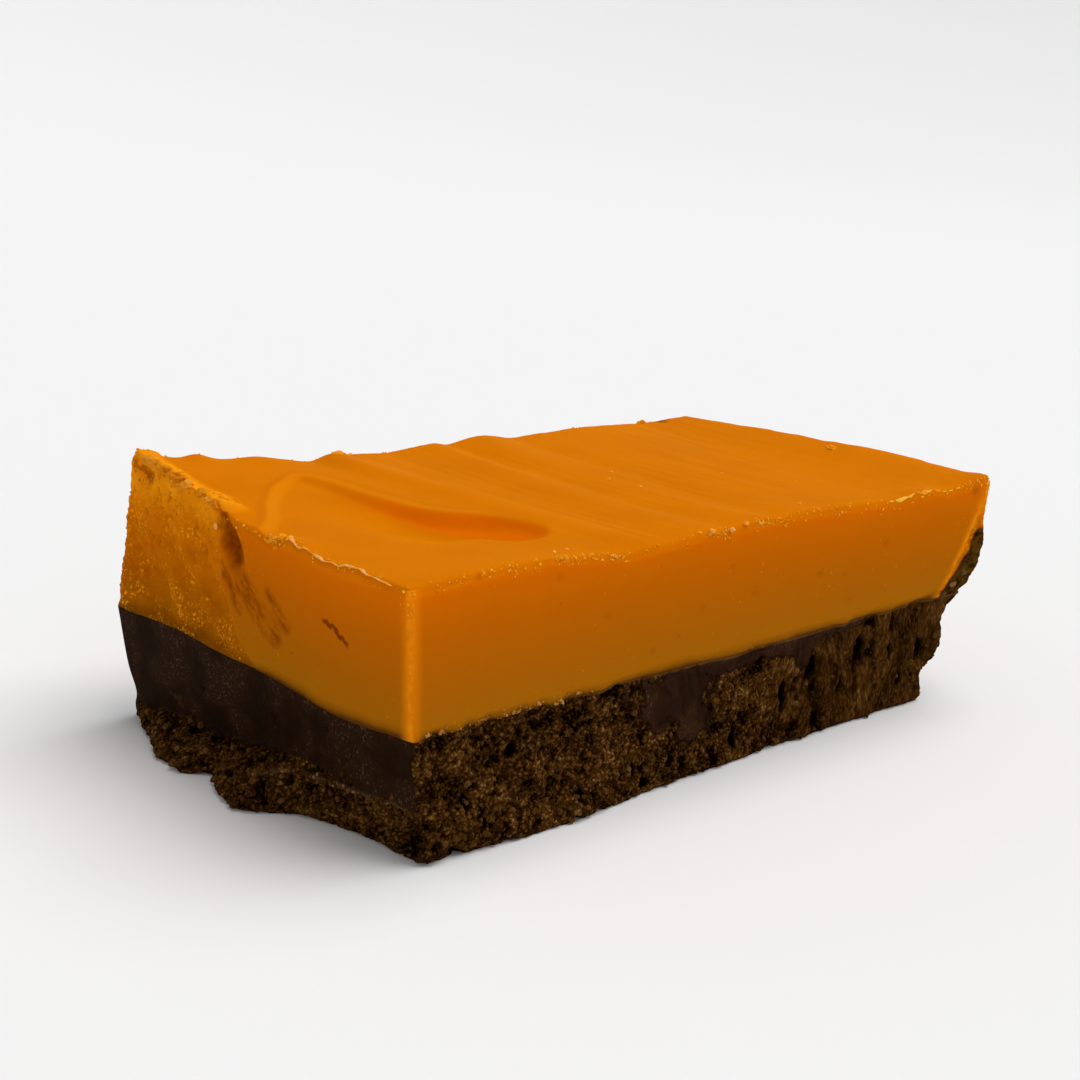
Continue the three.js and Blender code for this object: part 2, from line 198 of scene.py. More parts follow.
def nearest_on(path, x, y):
    best = np.full(np.shape(x), np.inf)
    share, side = np.zeros(np.shape(x)), np.ones(np.shape(x))
    for number, (a, b) in enumerate(zip(path[:-1], path[1:])):
        dx, dy = b - a
        step = np.clip(((x - a[0]) * dx + (y - a[1]) * dy) / (dx * dx + dy * dy), 0, 1)
        distance = np.hypot(x - a[0] - step * dx, y - a[1] - step * dy)
        nearer = distance < best
        best = np.where(nearer, distance, best)
        share = np.where(nearer, (number + step) / (len(path) - 1), share)
        side = np.where(nearer, np.where((x - a[0]) * dy - (y - a[1]) * dx < 0, -1, 1), side)
    return best, share, side


# %% [markdown]
# ## The spread top
# The top is a flat sheet with broad swells, ridges across it, a shallow dish and one groove.
# Sculpting by hand could make it too, but each ridge here is one line of sizes, and the dish and
# the groove are depths that depend on the distance to their paths.

# %% Height of the top
# Each swell: middle, half sizes, height
SWELLS = [(-49, 31, 15, 13, 2.5), (-50.5, 19, 3.4, 8, 1.3), (-35, -30, 10, 5, 0.8), (-50, -6, 3, 3.4, 0.9),
          (-15.5, -30, 4.5, 4, -0.8), (14, -29, 16, 7, 0.6), (41, -28.5, 3, 2.4, 0.5), (55, -2, 8, 24, 1),
          (57, -29, 4, 4, 0.8), (-22.4, 30, 2.6, 7, -0.5), (-49.5, 30, 3, 3, 0.9), (-40.5, 31, 2.2, 3, 0.8),
          (-31.5, 31, 4, 5, 0.7), (8, 30, 6, 9, 0.4)]
# Each ridge: its crest at the far, middle and near edge, height, half width
STROKES = [(-19.5, -17.8, -13.7, 0.5, 2.4), (-10, -10.5, -8.6, -0.3, 3.4), (-1.6, -4.8, -3.5, 0.35, 2.6),
           (1.2, -0.6, 1.4, -0.25, 2), (7.2, 5.4, 6.2, 0.35, 3.2), (13.8, 11.4, 10.6, -0.35, 2.6),
           (28, 23, 18, 0.3, 6), (42, 38, 36, -0.25, 5)]
DISH_DEPTH, DISH_WALL = 0.55, 2
DISH_RIM = smooth_path([(-60, -6), (-48.5, 2), (-41.8, 11.1), (-36.3, 17.2), (-30.6, 20.4), (-28.4, 16),
                        (-27.9, 7), (-25.9, -2.1), (-21.4, -7.3), (-18.5, -11.8), (-19.6, -17.6),
                        (-30, -22), (-60, -34)], 88)
GROOVE_DEPTH, GROOVE_STEEP_SIDE, GROOVE_GENTLE_SIDE, GROOVE_TIP_RADIUS = 1.9, 3.2, 12, 4.9
GROOVE_SPINE = smooth_path([(-32, 18.5), (-31.4, 10), (-30.5, 3), (-29.2, -4), (-25.6, -9.8),
                            (-23.6, -14.4)], 40)
STROKE_LEFT_NEAR = 0.45


def dish_depth(x, y):
    distance, _, side = nearest_on(DISH_RIM, x, y)
    depth = DISH_DEPTH * smoothstep(distance, 0, DISH_WALL) * smoothstep(y, -25, -8)
    return np.where(side < 0, 0, depth)


def groove_depth(x, y):
    distance, share, side = nearest_on(GROOVE_SPINE, x, y)
    near_tip = smoothstep(share, 0.6, 1)
    reach = np.where(side > 0, mix(GROOVE_GENTLE_SIDE, GROOVE_TIP_RADIUS, near_tip),
                     mix(GROOVE_STEEP_SIDE, GROOVE_TIP_RADIUS, smoothstep(share, 0.4, 0.9)))
    across = np.minimum(1, distance / reach)
    profile = mix(1 - smoothstep(across, 0, 1), 1 - across * across, np.where(side > 0, near_tip, 1))
    return GROOVE_DEPTH * smoothstep(share, 0, 0.8) * profile


def steep_wall(x, y):
    distance, share, side = nearest_on(GROOVE_SPINE, x, y)
    across = distance / mix(GROOVE_STEEP_SIDE, GROOVE_TIP_RADIUS, smoothstep(share, 0.4, 0.9))
    wall = smoothstep(across, 0.1, 0.5) * (1 - smoothstep(across, 0.85, 1.1))
    return np.where(side > 0, wall * smoothstep(share, 0.93, 1), wall) * smoothstep(share, 0.05, 0.5)


def crest_of(crest, y):
    share = np.clip(y / SLAB_WIDTH + 0.5, 0, 1)
    far, middle, near = crest
    return mix(mix(near, middle, share), mix(middle, far, share), share)


def top_height(x, y):
    z = TOP_HEIGHT - dish_depth(x, y) - groove_depth(x, y)
    for *oval, height in SWELLS:
        z = z + height * bump(from_middle(x, y, *oval))
    for *crest, height, half_width in STROKES:
        ridge = height * bump((x - crest_of(crest, y)) / half_width)
        z = z + ridge * mix(STROKE_LEFT_NEAR, 1, smoothstep(y, -5, 26))
    return z + 0.35 * grain(x, y, 0, 3.2) * smoothstep(-x, 41, 48) * smoothstep(y, 6, 12)


print("top above the groove's tip: %.2f mm" % top_height(np.array(-21.6), np.array(-13.2)))

# %% [markdown]
# ## What the coarse solid can't show
# Fine streaks follow the spatula, the knife raised a burr along parts of the edge, and the torn
# far corner is crumbly. These are small heights added to the same top.

# %% Fine relief of the top
# Side, start and end along it, height
BURRS, BURR_END = [(LEFT, -25, -4, 0.45), (NEAR, 34, 50, 0.4), (NEAR, -32, -23, 0.3)], 2.5


def crumbly_top(x, y):
    from_corner = smoothstep(-x + 0.9 * grain(x, y, 4, 3), 45.6, 47.2)
    return from_corner * smoothstep(y + 1.5 * grain(x, y, 8, 4), 7, 10)


def fine_top(x, y):
    bent = x - crest_of((8, 4, 8), y)
    streaks = 0.045 * grain(bent, y / 14, 3, 0.9) + 0.05 * grain(bent, y / 9, 6, 2.2)
    calm = smoothstep(x, -22, -10) * 0.75 + 0.25
    lumps = 0.5 * grain(x, y, 9, 2.3) + 0.28 * grain(x, y, 5, 0.9) + 0.2
    worn_corner = 0.9 * bump(np.hypot(x - 58.8, y + 29.2) / 1.7)
    return streaks * calm + 0.05 * grain(x, y, 1, 5) + lumps * crumbly_top(x, y) - worn_corner


# %% [markdown]
# ## The sides
# A knife leaves chocolate fudge smooth and dark, and tearing leaves it crumbly. The torn parts
# stand back a little and are made of crags. Each function below says how far one side stands
# out from the plain slab, for the orange layer and for the chocolate one.

# %% Relief of the four sides
FOOT_SPREAD = [(-27, 0.9), (-19, 1.3), (-10.6, 3.3), (-7.1, 7), (-4.4, 8.6), (0, 7.4),
               (5.6, 4.6), (8, 7.2), (14.3, 6.6), (21, 3.4), (28, 0)]
FOOT_SPREAD_ABOVE_CUT = 2
UNDERCUT = (1.5, 3.2, 1.5)
CUT_FOOT = [(-28, 6.2), (-18, 5.4), (-8, 4.6), (4, 2.6), (13, 2), (28, 0.6)]
FOOT_SWELL = (-27, 2.2, 20)
GOUGE = (6.1, 29.3, 1.5, 1.3, 3.6)
TORN_EDGE = [(15, -0.5), (19, 4.4), (23, 7.1), (31, 8), (34, 12.5)]
CUT_EDGE = [(15.5, 46.9), (19, 49.7), (24, 52.4), (29, 54.8), (32, 56.2)]
CHOCOLATE_CRAGS, ORANGE_CRAGS = (0.3, 0.95, 3.6, 0.45, 2.1), (0.6, 0.6, 4.2, 0.4, 2.2)
SMOOTH_PATCHES = [(-6.5, 11, 9, 6.4), (15, 13.4, 12, 3.4)]


def crags(sizes, x, y, z):
    _, coarse, coarse_size, fine, fine_size = sizes
    return coarse * grain(x, y, z, coarse_size) + fine * grain(x + 31, y, z, fine_size)


def torn_chocolate(x, y, z):
    return crags(CHOCOLATE_CRAGS, x, y, z) * mix(0.35, 1, smoothstep(z, 0, 3)) - CHOCOLATE_CRAGS[0]


def torn_orange(x, y, z):
    return crags(ORANGE_CRAGS, x, y, z) - ORANGE_CRAGS[0]


def smooth_share(x, z):
    return np.max([1 - smoothstep(from_middle(x, z, *oval), 0.8, 1.1) for oval in SMOOTH_PATCHES], axis=0)


def near_relief(x, y, z, in_orange):
    if in_orange:
        past_cut = np.maximum(0, x - along(CUT_EDGE, z))
        torn = 0.3 * np.minimum(1, past_cut) * grain(x, y, z, 2.4) - 0.12 * past_cut
        return 0.2 * grain(x, y, z, 11) + torn
    dragged = mix(z, z / 2.4, smoothstep(x, 0, 25))
    at, reach, half = FOOT_SWELL
    foot = reach * bump((x - at) / half) * (1 - smoothstep(z, 0, 9))
    return torn_chocolate(x, y, dragged) * (1 - smooth_share(x, z)) + foot


def right_relief(x, y, z, in_orange):
    wander = RIGHT_END_WANDER[0] * smoothstep(y, -28, -16) * grain(0, y, z, RIGHT_END_WANDER[1])
    return wander + (1.2 * torn_orange(x, y, z) if in_orange else torn_chocolate(x, y, z))


def far_relief(x, y, z, in_orange):
    if in_orange:
        return 0.25 * grain(x, y, z, 10)
    return (1 - smoothstep(z + 3 * grain(x, y, 2, 12), 6, 10)) * torn_chocolate(x, y, z)


def foot_spread(y, z):
    share_up = z / (along(CUT_FOOT, y) + FOOT_SPREAD_ABOVE_CUT)
    return along(FOOT_SPREAD, y) * np.maximum(0, 1 - share_up ** 2)


def left_relief(x, y, z, in_orange):
    if in_orange:
        torn = smoothstep(y - along(TORN_EDGE, z), -0.6, 1.4)
        at_y, at_z, depth, half_width, half_length = GOUGE
        across = (y - at_y - z + at_z) / math.sqrt(2)
        down = (y - at_y + z - at_z) / math.sqrt(2)
        gouge = depth * bump(across / half_width) * bump(down / half_length)
        return torn * torn_orange(x, y, z) + 0.15 * grain(x, y, z, 9) - gouge
    torn = 1 - smoothstep(z - along(CUT_FOOT, y), -0.7, 0.4)
    depth, middle, half = UNDERCUT
    undercut = depth * smoothstep(-y, 8, 14) * bump((z - middle) / half)
    return torn * torn_chocolate(x, y, z) - undercut + foot_spread(y, z)


RELIEF = [near_relief, right_relief, far_relief, left_relief]
print("sides:", [relief.__name__ for relief in RELIEF])

# %% [markdown]
# ## Where the corners are
# The plan of the slab is four corners that move a little with height. A side is the straight
# line between two of them, pushed out by its relief. Beside a corner the next side's relief
# joins in, so the two meet in one edge.


# %% Corners and walls
def between(values, level):
    values = np.asarray(values, float)
    low = np.minimum(np.floor(level), 1).astype(int)
    return values[low] + (values[low + 1] - values[low]) * (level - low)


def corner_at(index, level, z):
    index %= 4
    if index in (0, 3):
        corner = NEAR_LEFT if index == 0 else FAR_LEFT
        return between([c[0] for c in corner], level), between([c[1] for c in corner], level)
    if index == 1:
        return along(RIGHT_END, z), between(NEAR_RIGHT_Y, level)
    skew = mix(RIGHT_END_SKEW[0], RIGHT_END_SKEW[1], z / TOP_HEIGHT)
    return along(RIGHT_END, z * FAR_END_CLIMB) - skew, between(FAR_RIGHT_Y, level)


def outward(start, end):
    dx, dy = end[0] - start[0], end[1] - start[1]
    return dy / np.hypot(dx, dy), -dx / np.hypot(dx, dy)


def inwards(side, x, y, along_side, inset):
    if side in (NEAR, FAR):
        return x - np.sign(x) * along_side, y - np.sign(y) * inset
    return x - np.sign(x) * inset, y - np.sign(y) * along_side


def rounded(side, x, y, plain, to_corner):
    turn = math.pi / 4 * (1 + np.minimum(1, to_corner / CORNER_RADIUS))
    inset = CORNER_RADIUS * (1 - np.sin(turn))
    shift = np.maximum(0, CORNER_RADIUS * (1 - np.cos(turn)) - to_corner) * (to_corner < CORNER_RADIUS)
    return inwards(side, x, y, shift, inset)


def wall_plan(side, t, level, z, in_orange):
    t, level, z = np.broadcast_arrays(t, np.asarray(level, float), np.asarray(z, float))
    start, end = corner_at(side, level, z), corner_at(side + 1, level, z)
    plain = [mix(a, b, t) for a, b in zip(start, end)]
    tuck = FOOT_TUCK * (1 - smoothstep(z, 0, FOOT_TUCK_HEIGHT))
    relief = RELIEF[side](*plain, z, in_orange) - tuck
    away = outward(start, end)
    x, y = plain[0] + away[0] * relief, plain[1] + away[1] * relief
    to_corner = np.minimum(t, 1 - t) * np.hypot(end[0] - start[0], end[1] - start[1])
    join = 1 - smoothstep(to_corner, 0, CORNER_JOIN)
    for other, corner, here in ((side + 3, start, t < 0.5), (side + 5, end, t >= 0.5)):
        next_away = outward(corner_at(other, level, z), corner_at(other + 1, level, z))
        push = (RELIEF[other % 4](*corner, z, in_orange) - tuck) * join * here
        x, y = x + next_away[0] * push, y + next_away[1] * push
    return rounded(side, x, y, plain, to_corner)


def seam_height(x, y):
    wave = 0.6 * bump((y - 17) / 8) - 1.1 * bump((y + 17) / 9)
    return SEAM_HEIGHT + 0.006 * x + wave * bump((x + 50) / 12) + 0.2 * grain(x, y, 5, 8)


# %% [markdown]
# ## Marks on the faces
# The picture shows marks that belong to this slab alone: a dark gouge and streaks on the short
# face, a crack, pores in the crumb, a smear of chocolate on the torn end. Each is a line or a
# spot with a half width. They could be painted on an image, but a mark measured in millimetres
# can be put on the mesh as an attribute, and the finish reads it there.

# %% Marks measured in the picture
# Along the short face and up it: start, end, half width and, for a stain, its strength
STREAKS = [(8.3, 31.6, 6.5, 28.9, 1.2, 1.0), (6.5, 28.9, 4.8, 27.1, 1.1, 1.0),
           (5.2, 30.4, 4.2, 28.4, 0.8, 0.8), (7.6, 26.6, 5.4, 24.6, 0.25, 0.6),
           (5.4, 24.6, 4.4, 22.0, 0.35, 0.45)]
STREAKY = [(3.0, 24.6, -4.0, 20.2, 1.9), (-2.4, 25.0, -6.4, 21.6, 0.9), (6.6, 25.0, 3.2, 21.4, 0.9)]
CHOCOLATE_PITS = [(-17.8, 13.7), (-13.7, 11.4), (11.5, 8.8), (-3.4, 9.6)]
CRACK = smooth_path([(-12.8, 24.7), (-14.1, 24.2), (-15.1, 24.2), (-16.1, 23.5), (-17.1, 23.1),
                     (-18.1, 22.6)], 15)
# Along the long face and up it: middle and half sizes
PORES = [(-12.5, 1.6, 0.7, 1.0), (14.4, 7.4, 0.8, 1.8), (20.2, 10.5, 0.8, 1.5), (31.4, 10.7, 0.9, 1.7),
         (32.8, 14.2, 0.9, 0.6), (45.7, 8.1, 1.0, 1.9), (21.5, 2.4, 0.9, 1.0), (-34.4, 10.4, 0.8, 0.9),
         (-24.6, 3.1, 0.6, 1.1), (-14.5, 3.4, 0.6, 1.2), (26.5, 6.5, 0.7, 1.6), (37.5, 9.5, 0.7, 1.3),
         (5.5, 3.2, 0.7, 1.2), (40.8, 4.2, 0.8, 1.2), (-41.5, 5.8, 0.7, 1.0), (-5.2, 2.3, 0.6, 1.1)]
FACE_PITS = [(19.3, 23.5), (24.6, 22.7), (6.1, 22.9), (-28.3, 30.0), (25.9, 18.7), (-3.7, 22.6),
             (-12.2, 18.4), (1.4, 27.2), (-20.5, 24.1), (33.0, 26.0)]
FACE_PIT_SIZE = (0.5, 0.33)


def by_line(a, b, start_a, start_b, end_a, end_b):
    da, db = end_a - start_a, end_b - start_b
    share = np.clip(((a - start_a) * da + (b - start_b) * db) / (da * da + db * db), 0, 1)
    return np.hypot(a - start_a - share * da, b - start_b - share * db)


def stain_on_left(y, z):
    wander = 1 + 0.6 * grain(5, y, z, 0.8)
    return np.max([strength * bump(by_line(y, z, *line) / (half * wander))
                   for *line, half, strength in STREAKS], axis=0)


def streaky_on_left(y, z):
    return np.max([1 - smoothstep(by_line(y, z, *line) / half, 0.4, 1.1) for *line, half in STREAKY], axis=0)


def crack_on_left(y, z):
    distance, share, side = nearest_on(CRACK, y, z)
    return distance * side, smoothstep(share, 0.01, 0.1) * (1 - smoothstep(share, 0.9, 0.99))


def pore_share(x, z):
    wander = 1 + 0.35 * grain(x, 7, z, 0.9)
    return np.max([bump(from_middle(x, z, *oval) / wander) for oval in PORES], axis=0)


def pit_share(x, z):
    wander = 1 + 0.7 * grain(x, 4, z, 0.5)
    return np.max([bump(from_middle(x, z, *middle, *FACE_PIT_SIZE) / wander) for middle in FACE_PITS], axis=0)


print("streaks", len(STREAKS), "pores", len(PORES), "pits", len(FACE_PITS))

# %% [markdown]
# ## The walls of a layer
# A wall is a sheet of points: so many stations round the slab, so many levels up it. With every
# point come a few numbers that say what the fudge is like there: torn or cut, how far above the
# seam, stained or not. Geometry Nodes and the finishes use these numbers later.

# %% Masks and fine relief of the walls
PRESSED = [(-7.5, 12, 7.2, 4.6), (-4, 7.4, 3.6, 2.6), (2.5, 14.4, 7, 1.6), (14, 14.4, 9, 1.5),
           (17, 13, 2.6, 2.2), (27, 15, 7, 0.8)]
AXIS = {NEAR: (0, -1), RIGHT: (1, 0), FAR: (0, 1), LEFT: (-1, 0)}
# What each mask says where a side has no such mark
FAR_OFF = 9.0
ORANGE_MASKS = dict.fromkeys(["torn", "stain", "smear", "streaky", "crack_here", "cut_in", "seamy", "grooved",
                              "dish_shows"], 0.0)
ORANGE_MASKS.update(crack=FAR_OFF, rim=FAR_OFF, from_dish=-FAR_OFF)
CHOCOLATE_MASKS = dict.fromkeys(["drag", "lip", "pore", "glazed"], 0.0)
# How far the marks stand out or lie in
LIP_OUT, PORE_IN, SMEAR_OUT, STAIN_IN, PIT_IN = 0.35, 1.3, 0.5, 0.12, 0.06


def burr_height(side, at):
    height = 0
    for burr_side, low, high, size in BURRS:
        if burr_side == side:
            ragged = np.clip(0.6 + 0.9 * grain(at, side, 0, 1.3), 0, 1.3)
            from_ends = smoothstep(at, low, low + BURR_END) * (1 - smoothstep(at, high - BURR_END, high))
            height = height + size * from_ends * ragged
    return height


def ragged_seam(side, x, y):
    lip = 0.35 * smoothstep(x, -46, -43) * (1 - smoothstep(x, -29, -26)) if side == NEAR else 0.08
    return lip * grain(x, y, 12, 1.6) + 0.05 * grain(x, y, 3, 0.7)


def orange_masks(side, x, y, z, seam, top):
    masks = dict(ORANGE_MASKS, edge=bump((top - z) / 0.8), above_seam=z - seam)
    if side == NEAR:
        past_cut = x - along(CUT_EDGE, z) + 0.4 * grain(x, 3, z, 1.2)
        past_smear = past_cut - mix(0.9, 2.5, smoothstep(z, 15.5, 24))
        masks.update(
            torn=smoothstep(past_cut, -0.2, 0.8), cut_in=PIT_IN * pit_share(x, z),
            stain=0.3 * pit_share(x, z) + 0.5 * bump(from_middle(x, z, 53.2, 31, 0.9, 0.7)),
            smear=smoothstep(past_smear, 0, 0.7) * (1 - smoothstep(z, 24, 26)),
            rim=np.minimum(x - corner_at(NEAR, 1.5, z)[0], 0.2 + 0.9 * np.abs(past_cut - 0.9)),
            seamy=bump((z - seam) / 0.5) * smoothstep(x, -48, -46) * (1 - smoothstep(x, -27, -20)))
    elif side == RIGHT:
        patch = smoothstep(-y, 16 + 3 * grain(1, y, z, 3), 22) * (1 - smoothstep(z, 24.5, 26.5))
        masks.update(torn=1.0, smear=patch * smoothstep(grain(4, y, z, 2.1), -0.9, -0.3))
    elif side == FAR:
        masks.update(torn=0.25 * smoothstep(grain(x, y, z, 7), 0.1, 0.5))
    else:
        crack, crack_here = crack_on_left(y, z)
        masks.update(
            torn=smoothstep(y - along(TORN_EDGE, z) + 0.8 * grain(x, y, z, 1.3), -0.6, 1.4),
            stain=stain_on_left(y, z), streaky=streaky_on_left(y, z), crack=crack, crack_here=crack_here,
            rim=y - corner_at(NEAR, 1.5, z)[1])
    return masks


def pressed_patches(x, y, z):
    ragged = 0.25 * grain(x, y, z, 2.6) + 0.25 * grain(x, y, z, 1.1) + 0.14 * grain(x, y, z, 0.5)
    return np.max([1 - smoothstep(from_middle(x, z, *oval) + ragged, 0.8, 1.06) for oval in PRESSED], axis=0)


def chocolate_masks(side, x, y, z, seam):
    masks = dict(CHOCOLATE_MASKS, below_seam=seam - z)
    if side == NEAR:
        pressed = pressed_patches(x, y, z)
        masks.update(torn=1 - pressed, glazed=pressed, drag=smoothstep(x, 0, 25),
                     pore=pore_share(x, z) * (1 - pressed))
    elif side == RIGHT:
        masks.update(torn=1.0, drag=0.5)
    elif side == FAR:
        masks.update(torn=1 - smoothstep(z + 3 * grain(x, y, 2, 12) + 0.6 * grain(x, y, z, 1.4), 7, 9))
    else:
        above_cut = z - along(CUT_FOOT, y) + 0.5 * grain(x, y, z, 1.4)
        shoulder = foot_spread(y, z) + 0.5 * grain(x, y, z, 1.2)
        masks.update(
            torn=np.maximum(1 - smoothstep(above_cut, -0.5, 0.3), smoothstep(shoulder, 0.3, 0.7)),
            lip=bump(above_cut / 0.3) * smoothstep(-y, 5, 9) * smoothstep(grain(x, y, 3, 1.1), -0.4, 0.2),
            pore=0.6 * np.max([bump(np.hypot(y - cy, z - cz) / 0.3) for cy, cz in CHOCOLATE_PITS], axis=0))
    near_end = smoothstep(seam - z, 0, 0.7) * mix(0.4, 1, smoothstep(z, 0, 0.8))
    masks["loose"] = masks["torn"] * near_end * (1 - 0.35 * masks["drag"])
    return masks


# %% Sheets of points for the walls
def wall_sheet(side, steps, levels, in_orange):
    t, level = (np.arange(steps) / steps)[None, :], levels[:, None]
    seam_x, seam_y = wall_plan(side, t, 1.0, SEAM_HEIGHT, False)
    seam = seam_height(seam_x, seam_y) + ragged_seam(side, seam_x, seam_y)
    away = AXIS[side]
    if not in_orange:
        z = seam * level
        x, y = wall_plan(side, t, level, z, False)
        masks = chocolate_masks(side, x, y, z, seam)
        push = (LIP_OUT * masks["lip"] - PORE_IN * masks["pore"]) * (1 - smoothstep(level, 0.96, 1))
        return dict(masks, x=x + away[0] * push, y=y + away[1] * push, z=z)
    edge_x, edge_y = wall_plan(side, t, 2.0, TOP_HEIGHT, True)
    burr = burr_height(side, edge_x if side in (NEAR, FAR) else edge_y)
    top = top_height(edge_x, edge_y) + fine_top(edge_x, edge_y) - EDGE_DROP + burr
    z = mix(seam, top, level - 1)
    x, y = wall_plan(side, t, level, z, True)
    from_seam, to_edge = smoothstep(level, 1, 1.07), smoothstep(level, 1.96, 2)
    x, y = mix(mix(seam_x, x, from_seam), edge_x, to_edge), mix(mix(seam_y, y, from_seam), edge_y, to_edge)
    masks = orange_masks(side, x, y, z, seam, top)
    turn_in = EDGE_TURN_IN * smoothstep(level, 1.95, 2)
    side_length = SLAB_LENGTH if side in (NEAR, FAR) else SLAB_WIDTH
    beside_corner = np.maximum(0, 1 - np.minimum(t, 1 - t) * side_length / 2)
    push = SMEAR_OUT * masks["smear"] - STAIN_IN * masks["stain"] - masks["cut_in"]
    push = push * from_seam * (1 - to_edge)
    masks["loose"] = masks["torn"] * from_seam * mix(0.5, 1, 1 - to_edge)
    masks["seamy"] = masks["seamy"] * (level > 1)
    masks["top_skin"] = smoothstep(level + 0 * z, 1.95, 2)
    x, y = inwards(side, x + away[0] * push, y + away[1] * push, turn_in * beside_corner, turn_in)
    return dict(masks, x=x, y=y, z=z)


def walls_of(levels, steps, in_orange):
    sheets = [wall_sheet(side, steps[side], levels, in_orange) for side in (NEAR, RIGHT, FAR, LEFT)]
    return {key: np.concatenate([np.broadcast_to(sheet[key], sheet["x"].shape) for sheet in sheets], axis=1)
            for key in sheets[0]}


# %% [markdown]
# ## Closing a layer
# The chocolate layer is a wall with a lid at each end. The orange one has the spread top, which
# is blended inwards from its four edges, so that it shares their points and the body is closed.


# %% Top sheet and closed bodies
SMUDGES = [(45, 26.2, 2.4, 1.6, 0.43), (49.3, 27.2, 1.9, 1.2, 0.3)]


def ring_faces(rows, ring):
    row, i = np.meshgrid(np.arange(rows - 1), np.arange(ring), indexing="ij")
    low, j = row * ring, (i + 1) % ring
    return np.stack([low + i, low + j, low + ring + j, low + ring + i], -1).reshape(-1, 4)


def top_sheet(walls, steps_along, steps_across):
    ring = walls["x"].shape[1]
    last = (walls["x"].shape[0] - 1) * ring
    i, j = np.arange(steps_along + 1), np.arange(steps_across + 1)
    near, right = i, steps_along + j
    far, left = 2 * steps_along + steps_across - i, (ring - j) % ring
    plan = np.stack([walls["x"][-1], walls["y"][-1]], -1)
    s, t = (i / steps_along)[None, :, None], (j / steps_across)[:, None, None]
    blend = mix(plan[near][None], plan[far][None], t) + mix(plan[left][:, None], plan[right][:, None], s)
    blend = blend - mix(mix(plan[near[0]], plan[near[-1]], s), mix(plan[far[0]], plan[far[-1]], s), t)
    x, y = blend[1:-1, 1:-1, 0], blend[1:-1, 1:-1, 1]
    from_near, from_left = t[1:-1, :, 0] * SLAB_WIDTH + 0 * x, s[:, 1:-1, 0] * SLAB_LENGTH + 0 * x
    to_edge = np.minimum(np.minimum(from_near, SLAB_WIDTH - from_near),
                         np.minimum(from_left, SLAB_LENGTH - from_left))
    z = top_height(x, y) + fine_top(x, y) - EDGE_DROP * np.maximum(0, 1 - to_edge / EDGE_REACH) ** 2
    z = z + burr_height(NEAR, x) * bump(from_near / 0.45) + burr_height(LEFT, y) * bump(from_left / 0.45)
    torn = crumbly_top(x, y)
    from_rim, _, inside = nearest_on(DISH_RIM, x, y)
    sheet = dict(ORANGE_MASKS, x=x, y=y, z=z, torn=torn, loose=torn, top_skin=1.0, above_seam=ORANGE_DEPTH,
                 smear=sum(share * bump(from_middle(x, y, *oval)) for *oval, share in SMUDGES),
                 edge=bump(to_edge / 0.8), grooved=steep_wall(x, y),
                 dish_shows=smoothstep(y, -9, -2) * mix(1, 0.45, smoothstep(x, -36, -29)),
                 from_dish=np.clip(from_rim * inside, -FAR_OFF, FAR_OFF) + 1.7 * smoothstep(x, -34, -28))
    sheet = {key: np.broadcast_to(value, x.shape) for key, value in sheet.items()}
    number = np.zeros((steps_across + 1, steps_along + 1), int)
    number[1:-1, 1:-1] = last + ring + np.arange(x.size).reshape(x.shape)
    number[0], number[-1] = last + near, last + far
    number[:, 0], number[:, -1] = last + left, last + right
    faces = np.stack([number[:-1, :-1], number[:-1, 1:], number[1:, 1:], number[1:, :-1]], -1).reshape(-1, 4)
    return sheet, faces


def write_mask(mesh, name, values):
    mesh.attributes.new(name, "FLOAT", "POINT").data.foreach_set("value", np.asarray(values, np.float32))


def make_piece(name, parts, faces, lids):
    values = {key: np.concatenate([part[key].ravel() for part in parts]) for key in parts[0]}
    points = to_frame(np.stack([values.pop("x"), values.pop("y"), values.pop("z")], -1))
    mesh = bpy.data.meshes.new(name)
    mesh.from_pydata(points.tolist(), [], faces.tolist() + lids)
    mesh.polygons.foreach_set("use_smooth", [True] * len(faces) + [False] * len(lids))
    for key, numbers in values.items():
        write_mask(mesh, key, numbers)
    print(name, len(mesh.vertices), "points,", len(faces), "quads")
    return new_object(name, mesh)


# %% The orange layer
ORANGE_STEPS_ALONG, ORANGE_STEPS_ACROSS, ORANGE_LEVELS = 264, 154, 62
ORANGE_STEPS = [ORANGE_STEPS_ALONG, ORANGE_STEPS_ACROSS] * 2
orange_walls = walls_of(np.linspace(1, 2, ORANGE_LEVELS + 1), ORANGE_STEPS, True)
orange_top, top_faces = top_sheet(orange_walls, ORANGE_STEPS_ALONG, ORANGE_STEPS_ACROSS)
orange_ring = orange_walls["x"].shape[1]
orange_faces = np.concatenate([ring_faces(ORANGE_LEVELS + 1, orange_ring), top_faces])
orange_slab = make_piece("orange_slab", [orange_walls, orange_top], orange_faces,
                         [list(range(orange_ring - 1, -1, -1))])

# %% The chocolate layer
CHOCOLATE_STEPS, CHOCOLATE_LEVELS = [480, 180, 240, 280], 82
chocolate_walls = walls_of(np.linspace(0, 1, CHOCOLATE_LEVELS + 1), CHOCOLATE_STEPS, False)
chocolate_ring = chocolate_walls["x"].shape[1]
foot_lid = list(range(chocolate_ring - 1, -1, -1))
seam_lid = [CHOCOLATE_LEVELS * chocolate_ring + i for i in range(chocolate_ring)]
chocolate_faces = ring_faces(CHOCOLATE_LEVELS + 1, chocolate_ring)
chocolate_slab = make_piece("chocolate_slab", [chocolate_walls], chocolate_faces, [foot_lid, seam_lid])
for piece, node in ((orange_slab, "orange_fudge"), (chocolate_slab, "chocolate_fudge")):
    low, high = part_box(node)
    off = [round(MILLIMETRES * (piece.bound_box[corner][k] - want[k]), 2)
           for corner, want in ((0, low), (6, high)) for k in range(3)]
    print(piece.name, "differs from its solid's box by, mm:", off)

